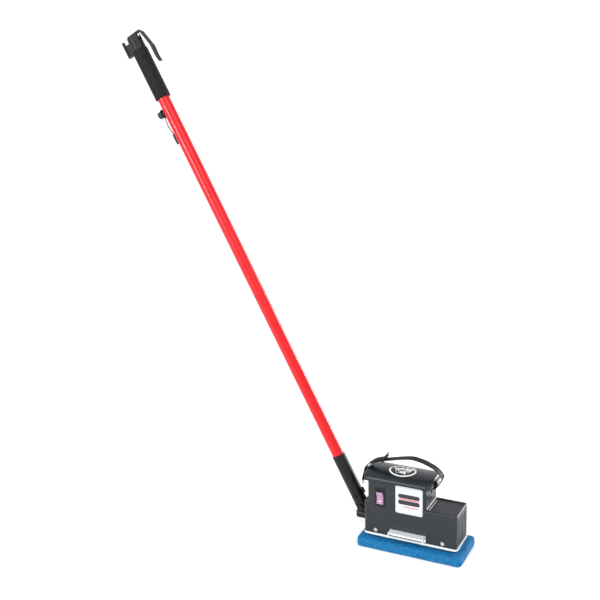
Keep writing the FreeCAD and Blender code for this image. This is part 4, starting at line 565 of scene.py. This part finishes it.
def woven_webbing():
    """Flat polypropylene webbing: a chevron weave, drawn on the band's own lengths in metres."""
    base = bpy.context.scene.scrubber_strap.colour
    material, tree, shader, _, bump = patchy(
        "woven_webbing", shade(base, 0.75), shade(base, 1.2), patch=6, roughness=(0.45, 0.6),
        grain=0.6, depth=0.03, IOR=1.49, Specular_IOR_Level=0.2)
    band = add(tree, "UVMap", uv_map="UVMap").outputs["UV"]
    yarn = 1.9 * MM
    warp = add(tree, "TexWave", {"Vector": band, "Scale": WAVE_BAND / yarn * 2, "Distortion": 0},
               bands_direction="Y")
    weft = add(tree, "TexWave", {"Vector": band, "Scale": WAVE_BAND / yarn, "Distortion": 0.4},
               bands_direction="DIAGONAL")
    over = add(tree, "Math", {0: warp.outputs["Fac"], 1: weft.outputs["Fac"]},
               operation="MULTIPLY")
    tone = mixed(tree, over.outputs[0], shade(base, 0.5), shade(base, 1.2))
    tree.links.new(tone, shader.inputs["Base Color"])
    relief(tree, shader, over.outputs[0], 0.4, under=bump)
    return material


# Which CAD nodes wear which finish.
NODE_FINISHES = (
    (moulded_abs, ("housing_shell", "lid")),
    (moulded_nylon, ("switch_bezel", "switch_body", "power_inlet", "terminal_block",
                     "cooling_fan", "valve_body", "outlet_spout", "top_cap", "hanging_hook",
                     "trigger_lever", "fill_port", "tether_clip")),
    (gloss_powder_coat, ("pole_tube",)),
    (satin_powder_coat, ("swivel_block", "handle_socket", "strap_anchors", "handle_bolts",
                         "hinge_nut")),
    (bright_zinc_plate, ("deck_pan", "front_bracket", "end_bracket", "capacitor_saddle")),
    (zinc_fastener, ("mount_studs", "shell_screws", "deck_bolts", "bracket_screws", "rivets",
                     "swing_bolt", "swing_nut")),
    (turned_steel, ("orbit_bearing", "motor_bearings", "eccentric_hub", "motor_shaft",
                    "lever_pin", "lever_spring")),
    (cast_aluminium, ("driver_plate", "motor_lower_bell", "motor_upper_bell")),
    (drawn_aluminium, ("capacitor", "valve_rod")),
    (painted_iron, ("ballast_weight", "counterweight")),
    (motor_enamel, ("motor_can",)),
    (stacked_laminations, ("stator_core", "rotor_core")),
    (enamelled_copper, ("stator_windings",)),
    (plated_brass, ("inlet_blades",)),
    (moulded_rubber, ("rubber_mounts", "valve_seal", "fill_plug", "plug_tether")),
    (hook_tape, ("pad_grip_sheet",)),
    (painted_glow_lens, ("switch_rocker",)),
    (printed_vinyl, ("front_label",)),
    (white_vinyl, ("lid_badge",)),
)


class SCRUBBER_OT_finishes(bpy.types.Operator):
    """Give every CAD node the finish of the real piece"""
    bl_idname = "scrubber.finishes"
    bl_label = "Finish the frame"

    def execute(self, context):
        for make_material, nodes in NODE_FINISHES:
            material = make_material()
            for node in nodes:
                for holder in NODES[node].material_slots:
                    holder.material = material
        return {"FINISHED"}


# ---------------------------------------------------------------- scrub pad
def pad_web():
    """The pad's body: a rounded block, remeshed finely and made uneven all over."""
    settings = bpy.context.scene.scrubber_pad
    low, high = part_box("scrub_pad")
    corner_round, edge_round, cell = 9 * MM, 5.5 * MM, 1.45 * MM
    wide_lumps, fine_lumps = 12 * MM, 2.6 * MM
    inset = Vector((settings.lump, settings.lump, 0.3 * MM))
    piece = block("scrub_pad_web", low + inset, high - inset)
    edit(piece)
    pick(piece, "EDGE", lambda edge: abs(edge_run(edge).z) > 0.9)
    bpy.ops.mesh.bevel(offset=corner_round, segments=5)
    pick(piece, "EDGE", lambda edge: abs(edge_run(edge).z) < 0.1 and
         sum(abs(face.normal.z) > 0.9 for face in edge.link_faces) == 1)
    bpy.ops.mesh.bevel(offset=edge_round, segments=4)
    leave_edit(outwards=True)
    refine(piece, "REMESH", mode="VOXEL", voxel_size=cell)
    displaced(piece, wide_lumps, 1.6 * settings.lump)
    displaced(piece, fine_lumps, 2.0 * settings.lump)
    for vertex in piece.data.vertices:
        vertex.co.z = min(max(vertex.co.z, low.z), high.z)
    return piece


def loose_fibres(web):
    """Bent fibres that lie along the web and stand a little proud of it."""
    settings = bpy.context.scene.scrubber_pad
    low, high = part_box("scrub_pad")
    chance = random.Random(7)
    line = bpy.data.curves.new("scrub_pad_fibres", "CURVE")
    line.dimensions = "3D"
    line.bevel_depth = settings.fibre_thickness / 2
    line.bevel_resolution = 0
    line.use_fill_caps = True
    reach = settings.fibre_thickness
    links = 4
    step = settings.fibre_length / links
    lowest_root, highest_root = low.z + 2 * MM, high.z - 3 * MM
    roots = [vertex for vertex in web.data.vertices
             if lowest_root < vertex.co.z < highest_root]
    for i in range(settings.fibres):
        root = chance.choice(roots)
        heading = Vector([chance.uniform(-1, 1) for axis in range(3)]).cross(root.normal)
        if heading.length < 0.1:
            continue
        heading.normalize()
        point = root.co.copy()
        path = []
        for j in range(links + 1):
            _, spot, normal, _ = web.closest_point_on_mesh(point)
            proud = reach * chance.uniform(0.1, 1.1)
            path.append(spot + normal * proud)
            bend = normal.cross(heading) * chance.uniform(-0.7, 0.7)
            heading = (heading + bend).normalized()
            heading = (heading - normal * heading.dot(normal)).normalized()
            point = spot + heading * step
        thread = line.splines.new("POLY")
        thread.points.add(links)
        for spline_point, spot in zip(thread.points, path):
            held = [min(max(spot[axis], low[axis] + reach), high[axis] - reach)
                    for axis in range(3)]
            spline_point.co = (*held, 1)
    piece = bpy.data.objects.new("scrub_pad_fibres", line)
    bpy.context.collection.objects.link(piece)
    activate(piece)
    bpy.ops.object.convert(target="MESH")
    return bpy.context.object


class SCRUBBER_OT_scrub_pad(bpy.types.Operator):
    """Make the scrub pad: a thick web of blue fibre with loose fibres over it"""
    bl_idname = "scrubber.scrub_pad"
    bl_label = "Scrub pad"

    def execute(self, context):
        fibre = nonwoven_fibre()
        web = pad_web()
        strands = loose_fibres(web)
        finished(web, "pad_driver", fibre, flat_angle=180)
        finished(strands, "pad_driver", loose_fibre(), flat_angle=60)
        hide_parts("scrub_pad")
        return {"FINISHED"}


# ---------------------------------------------------------------- carry strap
def strap_bars():
    """Middles of the two bars that the strap is threaded round, and a bar's radius."""
    bar_radius, half_plate = 2 * MM, 4 * MM
    corners = [vertex.co for vertex in NODES["strap_anchors"].data.vertices]
    bars = []
    for side in (-1, 1):
        near = [corner for corner in corners if corner.x * side > 0]
        reach = max(corner.x * side for corner in near) - bar_radius
        height = max(corner.z for corner in near) - half_plate
        bars.append(Vector((side * reach, 0, height)))
    return (*bars, bar_radius)


def strap_line():
    """The webbing's middle line, from its stitched end at the right bar to its loose tail."""
    low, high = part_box("lid")
    left, right, bar_radius = strap_bars()
    thick = bpy.context.scene.scrubber_strap.thickness
    tail = bpy.context.scene.scrubber_strap.tail
    clearance = 0.1 * MM
    turn = bar_radius + thick / 2 + clearance
    span = high.x - low.x
    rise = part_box("carry_strap")[1].z - high.z
    top = high.z

    def at(x, z):
        return Vector((x, 0, z))

    def round_bar(bar, start, end, count):
        angles = [math.radians(start + (end - start) * i / count) for i in range(count + 1)]
        return [bar + turn * at(math.cos(a), math.sin(a)) for a in angles]

    right_end = [at(high.x + 5 * MM, top - 12.8 * MM), at(high.x + 0.6 * MM, top - 18.6 * MM)]
    right_end += round_bar(right, 100, 285, 6)
    over = [
        at(right.x + 8.5 * MM, right.z + 0.6 * MM),
        at(high.x + 6.6 * MM, top - 17.2 * MM),
        at(high.x + 11.2 * MM, top - 8.5 * MM),
        at(high.x + 13.8 * MM, top + 3 * MM),
        at(high.x + 1 * MM, top + 0.49 * rise),
        at(low.x + 0.87 * span, top + 0.78 * rise),
        at(low.x + 0.73 * span, top + 0.94 * rise),
        at(low.x + 0.59 * span, top + 0.95 * rise),
        at(low.x + 0.30 * span, top + 0.64 * rise),
        at(low.x + 0.10 * span, top + 0.36 * rise),
        at(low.x - 3.2 * MM, top - 3 * MM),
        at(low.x - 6.4 * MM, top - 15 * MM),
    ]
    under = round_bar(left, 10, -190, 7)
    back = [
        at(low.x - 11.4 * MM, top - 15 * MM),
        at(low.x - 6.8 * MM, top - 1 * MM),
        at(low.x + 0.08 * span, top + 0.43 * rise),
        at(low.x + 0.20 * span, top + 0.63 * rise),
    ]
    slope = Vector((0.9, 0, 0.42))
    loose = [back[-1] + slope * tail * share for share in (0.5, 1)]
    return right_end + over + under + back + loose


def band(name, line, width, thick):
    """A flat band of webbing along a line in the XZ plane, with its lengths as UVs."""
    clear_selection()
    bpy.ops.mesh.primitive_grid_add(x_subdivisions=len(line) - 1, y_subdivisions=10, size=1)
    piece = newest(name)
    runs = [0.0]
    for before, after in zip(line, line[1:]):
        runs.append(runs[-1] + (after - before).length)
    uvs = piece.data.uv_layers["UVMap"].data
    for loop in piece.data.loops:
        place = piece.data.vertices[loop.vertex_index].co
        column = round((place.x + 0.5) * (len(line) - 1))
        uvs[loop.index].uv = (runs[column], place.y * width)
    for vertex in piece.data.vertices:
        column = round((vertex.co.x + 0.5) * (len(line) - 1))
        vertex.co = line[column] + Vector((0, vertex.co.y * width, 0))
    refine(piece, "SOLIDIFY", thickness=thick, offset=0)
    edit(piece)
    leave_edit(outwards=True)
    refine(piece, "BEVEL", width=0.35 * thick, segments=2, limit_method="ANGLE",
           angle_limit=math.radians(60))
    return piece


def strap_slider(middle, width):
    """Moulded slider: a plate with two slots, tipped so that its lower end hangs."""
    length, thick, slot_edge = 22 * MM, 2.4 * MM, 2.6 * MM
    tip = math.radians(-68)
    clear_selection()
    bpy.ops.mesh.primitive_grid_add(x_subdivisions=2, y_subdivisions=1, size=1)
    bpy.context.object.scale = (length, width, 1)
    piece = newest("strap_slider")
    edit(piece)
    bpy.ops.mesh.select_mode(type="FACE")
    bpy.ops.mesh.select_all(action="SELECT")
    bpy.ops.mesh.inset(thickness=slot_edge, use_individual=True)
    bpy.ops.mesh.delete(type="FACE")
    leave_edit()
    refine(piece, "SOLIDIFY", thickness=thick, offset=0)
    edit(piece)
    leave_edit(outwards=True)
    refine(piece, "BEVEL", width=0.6 * MM, segments=2, limit_method="ANGLE")
    move_to(piece, Matrix.Translation(middle) @ Matrix.Rotation(tip, 4, "Y"))
    return piece


def box_stitch(line, count, width, thick):
    """Short raised stitches in a box on the band's lapped end, on its outer face."""
    stitches = []
    half = 0.36 * width
    yarn, proud = 0.42 * MM, 0.12 * MM
    for i in range(count):
        here, there = line[i], line[i + 1]
        run = (there - here).normalized()
        out = Vector((-run.z, 0, run.x))
        rows = (-half, half) if 0 < i < count - 1 else [half * (j / 3 - 1) for j in range(7)]
        for y in rows:
            clear_selection()
            bpy.ops.mesh.primitive_uv_sphere_add(segments=8, ring_count=6, radius=yarn)
            stitch = newest("stitch")
            middle = (here + there) / 2 + out * (thick / 2 + proud) + Vector((0, y, 0))
            turn = Matrix.Rotation(-math.atan2(run.z, run.x), 4, "Y")
            stretch = Matrix.Diagonal((2.1, 1, 0.8, 1))
            move_to(stitch, Matrix.Translation(middle) @ turn @ stretch)
            stitches.append(stitch)
    return stitches


class SCRUBBER_OT_carry_strap(bpy.types.Operator):
    """Thread the carry strap round its bars, with its slider, loose tail and stitching"""
    bl_idname = "scrubber.carry_strap"
    bl_label = "Carry strap"

    def execute(self, context):
        settings = context.scene.scrubber_strap
        low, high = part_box("carry_strap")
        width = high.y - low.y
        points = strap_line()
        line = smooth_line(points, 1.6 * MM)
        webbing = woven_webbing()
        piece = band("strap_webbing", line, width, settings.thickness)
        finished(piece, "head", webbing, flat_angle=50)
        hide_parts("carry_strap")
        slider = strap_slider((points[-3] + points[-1]) / 2 - Vector((0, 0, 1 * MM)),
                              width + 6 * MM)
        finished(slider, "head", moulded_nylon())
        lap = smooth_line(points, 3.2 * MM)
        thread = joined("strap_stitching", box_stitch(lap, 4, width, settings.thickness))
        finished(thread, "head", closed_cell_foam(), flat_angle=180)
        return {"FINISHED"}


# ---------------------------------------------------------------- foam grip
class SCRUBBER_OT_foam_grip(bpy.types.Operator):
    """Make the foam grip: a soft sleeve with rounded ends and an uneven skin"""
    bl_idname = "scrubber.foam_grip"
    bl_label = "Foam grip"

    def execute(self, context):
        settings = context.scene.scrubber_grip
        low, high = pole_span("foam_grip")
        outer = high.x - settings.swell
        inner = pole_span("pole_tube")[1].x + 0.05 * MM
        radius = settings.end_round
        corner = [math.radians(90 * i / 4) for i in range(5)]
        rows = 44
        bottom, top = low.z + radius, high.z - radius
        outline = [(inner, low.z), *[(outer - radius * (1 - math.sin(a)),
                                      bottom - radius * math.cos(a)) for a in corner]]
        outline += [(outer, bottom + (top - bottom) * i / rows) for i in range(1, rows)]
        outline += [(outer - radius * (1 - math.cos(a)), top + radius * math.sin(a))
                    for a in corner]
        outline.append((inner, high.z))
        piece = turned("foam_sleeve", outline, steps=72)
        skin = [vertex.index for vertex in piece.data.vertices
                if vertex.co.xy.length > outer - 0.1 * MM]
        piece.vertex_groups.new(name="skin").add(skin, 1, "REPLACE")
        displaced(piece, 14 * MM, 1.6 * settings.swell, vertex_group="skin")
        piece.vertex_groups.clear()
        move_to(piece, POLE_FRAME)
        finished(piece, "handle", closed_cell_foam(), flat_angle=60)
        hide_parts("foam_grip")
        return {"FINISHED"}


# ---------------------------------------------------------------- print on label and badge
def ink_bar(name, middle, width, height, film, face_y):
    """A bar with rounded ends, raised from the label's face."""
    low = Vector((middle.x - width / 2, face_y - film, middle.z - height / 2))
    high = Vector((middle.x + width / 2, face_y + film, middle.z + height / 2))
    piece = block(name, low, high)
    edit(piece)
    pick(piece, "EDGE", lambda edge: abs(edge_run(edge).y) > 0.9)
    bpy.ops.mesh.bevel(offset=0.48 * min(width, height), segments=6)
    leave_edit()
    return piece


def label_bars():
    """Black and red bars where a maker's words would be: (x, z, width, height) as shares."""
    black = ((0, 0.15, 0.8, 0.15), (0, -0.08, 0.8, 0.16))
    red = ((0, 0.037, 0.74, 0.035), (0.06, -0.24, 0.55, 0.028))
    low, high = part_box("front_label")
    middle = (low + high) / 2
    wide, tall = high.x - low.x, high.z - low.z
    film = bpy.context.scene.scrubber_print.film
    made = []
    for colour, rows in (("black", black), ("red", red)):
        bars = []
        for i, (x, z, width, height) in enumerate(rows):
            spot = Vector((middle.x + x * wide, 0, middle.z + z * tall))
            bars.append(ink_bar("bar_%s_%d" % (colour, i), spot, width * wide, height * tall,
                                film, low.y))
        made.append(joined("label_%s_print" % colour, bars))
    return made


def badge_print(name, x, y, half_x, half_y, turn, film):
    """A thin oval laid on the badge's crowned face, its outer face at film above it."""
    low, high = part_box("lid_badge")
    middle = (low + high) / 2
    piece = disc(name, half_x, half_y, steps=72)
    edit(piece)
    rings = 5
    for i in range(rings):
        pick(piece, "FACE", lambda face: len(face.verts) > 4)
        bpy.ops.mesh.inset(thickness=0.8 * min(half_x, half_y) / rings)
    leave_edit()
    above = 5 * MM
    spot = Vector((middle.x + x, middle.y + y, high.z + above))
    move_to(piece, Matrix.Translation(spot) @ Matrix.Rotation(math.radians(turn), 4, "Z"))
    refine(piece, "SHRINKWRAP", target=NODES["lid_badge"], wrap_method="PROJECT",
           use_project_z=True, use_negative_direction=True, use_positive_direction=False,
           offset=film)
    refine(piece, "SOLIDIFY", thickness=film, offset=-1)
    return piece


# Middles of the badge's leaves as shares of its half sizes, and their turns in degrees.
BADGE_LEAVES = ((-0.3, 0.22, 24), (0.34, 0.26, -28), (0.02, -0.36, 4))


class SCRUBBER_OT_print(bpy.types.Operator):
    """Print plain bars on the label and a plain oval device on the lid's badge"""
    bl_idname = "scrubber.print"
    bl_label = "Label and badge print"

    def execute(self, context):
        film = context.scene.scrubber_print.film
        black, red, white = black_ink(), red_ink(), white_vinyl()
        black_bars, red_bars = label_bars()
        finished(black_bars, "head", black)
        finished(red_bars, "head", red)
        low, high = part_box("lid_badge")
        half_x, half_y = (high.x - low.x) / 2, (high.y - low.y) / 2
        rim_x, rim_y = 3.4 * MM, 3.2 * MM
        field = badge_print("badge_field", 0, 0, half_x - rim_x, half_y - rim_y, 0, 1.5 * film)
        finished(field, "head", black)
        leaves = []
        for i, (x, y, turn) in enumerate(BADGE_LEAVES):
            leaves.append(badge_print("badge_leaf_%d" % i, x * half_x, y * half_y, 0.3 * half_x,
                                      0.17 * half_y, turn, 4 * film))
        finished(joined("badge_leaves", leaves), "head", white)
        return {"FINISHED"}


# ---------------------------------------------------------------- small moulded details
class SCRUBBER_OT_lever_ribs(bpy.types.Operator):
    """Put grip ribs on the outer face of the trigger lever"""
    bl_idname = "scrubber.lever_ribs"
    bl_label = "Lever ribs"

    def execute(self, context):
        low, high = pole_span("trigger_lever")
        first, pitch, thick = 17 * MM, 4.5 * MM, 1.4 * MM
        sunk, proud = 1.1 * MM, 0.4 * MM
        half = (high.y - low.y) / 2 - 1.5 * MM
        outer = high.x - 1.1 * MM
        ribs = []
        for i in range(5):
            level = low.z + first + pitch * i
            rib = block("rib_%d" % i, (outer - sunk, -half, level - thick / 2),
                        (outer + proud, half, level + thick / 2))
            refine(rib, "BEVEL", width=0.5 * MM, segments=2, limit_method="NONE")
            ribs.append(rib)
        piece = joined("lever_ribs", ribs)
        move_to(piece, POLE_FRAME)
        finished(piece, "trigger", moulded_nylon())
        return {"FINISHED"}


class SCRUBBER_OT_rocker_marks(bpy.types.Operator):
    """Mould a bar and a ring, for on and off, into the rocker's face"""
    bl_idname = "scrubber.rocker_marks"
    bl_label = "Rocker marks"

    def execute(self, context):
        low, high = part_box("switch_rocker")
        middle = (low + high) / 2
        pivot = Vector(JOINTS["switch_rock"]["pos_m"])
        clear_selection()
        bpy.ops.mesh.primitive_torus_add(major_radius=2.2 * MM, minor_radius=0.35 * MM,
                                         major_segments=28, minor_segments=8,
                                         rotation=(math.radians(90), 0, 0))
        ring = newest("off_ring")
        bar = block("on_bar", (-0.4 * MM, -0.35 * MM, -2.4 * MM), (0.4 * MM, 0.35 * MM, 2.4 * MM))
        refine(bar, "BEVEL", width=0.25 * MM, segments=2, limit_method="NONE")
        reach = 0.3 * (high.z - low.z)
        face = NODES["switch_rocker"]
        for mark, side in ((ring, -1), (bar, 1)):
            start = Vector((middle.x, low.y - 20 * MM, pivot.z + side * reach))
            hit, spot, normal, _ = face.ray_cast(start, Vector((0, 1, 0)))
            if not hit:
                raise RuntimeError("the rocker's face was missed")
            lay = Vector((0, -1, 0)).rotation_difference(normal).to_matrix().to_4x4()
            move_to(mark, Matrix.Translation(spot) @ lay)
        piece = joined("rocker_marks", [ring, bar])
        finished(piece, "rocker", white_vinyl())
        return {"FINISHED"}


# ---------------------------------------------------------------- stage
def painted_floor():
    """Matt studio paint: near white, with a barely seen roller texture."""
    base = bpy.context.scene.scrubber_stage.floor
    return patchy("painted_floor", shade(base, 0.985), base, patch=400, roughness=(0.6, 0.7),
                  grain=4, depth=0.03, IOR=1.4, Specular_IOR_Level=0.25).material


def soft_light(name, place, aim, size, power):
    """A soft box at place that faces aim."""
    clear_selection()
    bpy.ops.object.light_add(type="AREA", location=place)
    lamp = bpy.context.object
    lamp.name = name
    lamp.data.shape = "RECTANGLE"
    lamp.data.size, lamp.data.size_y = size
    lamp.data.energy = power
    lamp.rotation_euler = (Vector(aim) - Vector(place)).to_track_quat("-Z", "Y").to_euler()


def lay_floor():
    """A wide round of painted floor, just under the pad."""
    clear_selection()
    bpy.ops.mesh.primitive_circle_add(vertices=96, radius=14, fill_type="NGON",
                                      location=(0, 0, -0.02 * MM))
    floor = newest("floor")
    floor.data.materials.append(painted_floor())


def white_surround():
    """A white world, a little brighter near the horizon than overhead."""
    world = bpy.data.worlds.new("studio")
    world.use_nodes = True
    tree = world.node_tree
    sky = tree.nodes["Background"]
    sky.inputs["Color"].default_value = linear("#FFFFFF")
    way = add(tree, "TexCoord").outputs["Generated"]
    height = add(tree, "SeparateXYZ", {"Vector": way}).outputs["Z"]
    dome = add(tree, "MapRange", {"Value": height, "From Min": 0.1, "From Max": 0.5,
                                  "To Min": 1.12, "To Max": 0.78})
    tree.links.new(dome.outputs["Result"], sky.inputs["Strength"])
    bpy.context.scene.world = world


def soft_sun(name, heading, power, spread):
    """Daylight that travels along heading, with shadows softened over spread degrees."""
    clear_selection()
    bpy.ops.object.light_add(type="SUN", location=-Vector(heading))
    lamp = bpy.context.object
    lamp.name = name
    lamp.data.energy = power
    lamp.data.angle = math.radians(spread)
    lamp.rotation_euler = Vector(heading).to_track_quat("-Z", "Y").to_euler()


def stand_camera(settings):
    """A camera that stands, looks and leans as the settings say."""
    clear_selection()
    bpy.ops.object.camera_add(location=settings.camera_at)
    camera = bpy.context.object
    camera.name = "camera"
    right = Vector(settings.camera_right).normalized()
    back = -Vector(settings.camera_look).normalized()
    up = back.cross(right)
    camera.rotation_euler = Matrix((right, up, back)).transposed().to_euler()
    camera.data.lens = settings.focal_length
    camera.data.sensor_width = 36
    camera.data.clip_start = 0.05
    camera.data.clip_end = 100
    bpy.context.scene.camera = camera


class SCRUBBER_OT_stage(bpy.types.Operator):
    """Lay the floor, hang the lights and place the camera"""
    bl_idname = "scrubber.stage"
    bl_label = "Stage"

    def execute(self, context):
        lay_floor()
        white_surround()
        soft_light("key", (-1.0, -2.0, 2.6), (-0.25, 0, 0.4), (1.0, 1.0), 24)
        soft_sun("wash", (-1.6, 1.3, -2.2), 1.3, spread=50)
        soft_light("low_front", (-1.4, -2.7, 1.05), (0, 0, 0.15), (1.2, 0.5), 42)
        soft_light("low_side", (1.7, 3.3, 0.9), (0.1, 0, 0.1), (1.2, 1.5), 110)
        stand_camera(context.scene.scrubber_stage)
        context.scene.view_settings.view_transform = "Standard"
        return {"FINISHED"}


# ---------------------------------------------------------------- panel and registration
class SCRUBBER_PT_panel(bpy.types.Panel):
    """The scrubber's settings and the pieces that can be made"""
    bl_idname = "SCRUBBER_PT_panel"
    bl_label = "Orbital Floor Scrubber"
    bl_space_type = "VIEW_3D"
    bl_region_type = "UI"
    bl_category = "Scrubber"

    def draw(self, context):
        for name, group in SETTINGS:
            settings = getattr(context.scene, name)
            column = self.layout.column(align=True)
            for key in group.__annotations__:
                column.prop(settings, key)
        for operator in OPERATORS:
            self.layout.operator(operator.bl_idname)


SETTINGS = (
    ("scrubber_finishes", ScrubberFinishes),
    ("scrubber_pad", ScrubberPad),
    ("scrubber_strap", ScrubberStrap),
    ("scrubber_grip", ScrubberGrip),
    ("scrubber_print", ScrubberPrint),
    ("scrubber_stage", ScrubberStage),
)
OPERATORS = (
    SCRUBBER_OT_stage,
    SCRUBBER_OT_finishes,
    SCRUBBER_OT_scrub_pad,
    SCRUBBER_OT_carry_strap,
    SCRUBBER_OT_foam_grip,
    SCRUBBER_OT_print,
    SCRUBBER_OT_lever_ribs,
    SCRUBBER_OT_rocker_marks,
)


def register():
    for name, group in SETTINGS:
        bpy.utils.register_class(group)
        setattr(bpy.types.Scene, name, PointerProperty(type=group))
    for cls in (*OPERATORS, SCRUBBER_PT_panel):
        bpy.utils.register_class(cls)


def unregister():
    for cls in reversed((*OPERATORS, SCRUBBER_PT_panel)):
        bpy.utils.unregister_class(cls)
    for name, group in reversed(SETTINGS):
        delattr(bpy.types.Scene, name)
        bpy.utils.unregister_class(group)


def main():
    register()
    for operator in OPERATORS:
        family, action = operator.bl_idname.split(".")
        getattr(getattr(bpy.ops, family), action)()
    clear_selection()


if __name__ == "__main__":
    main()
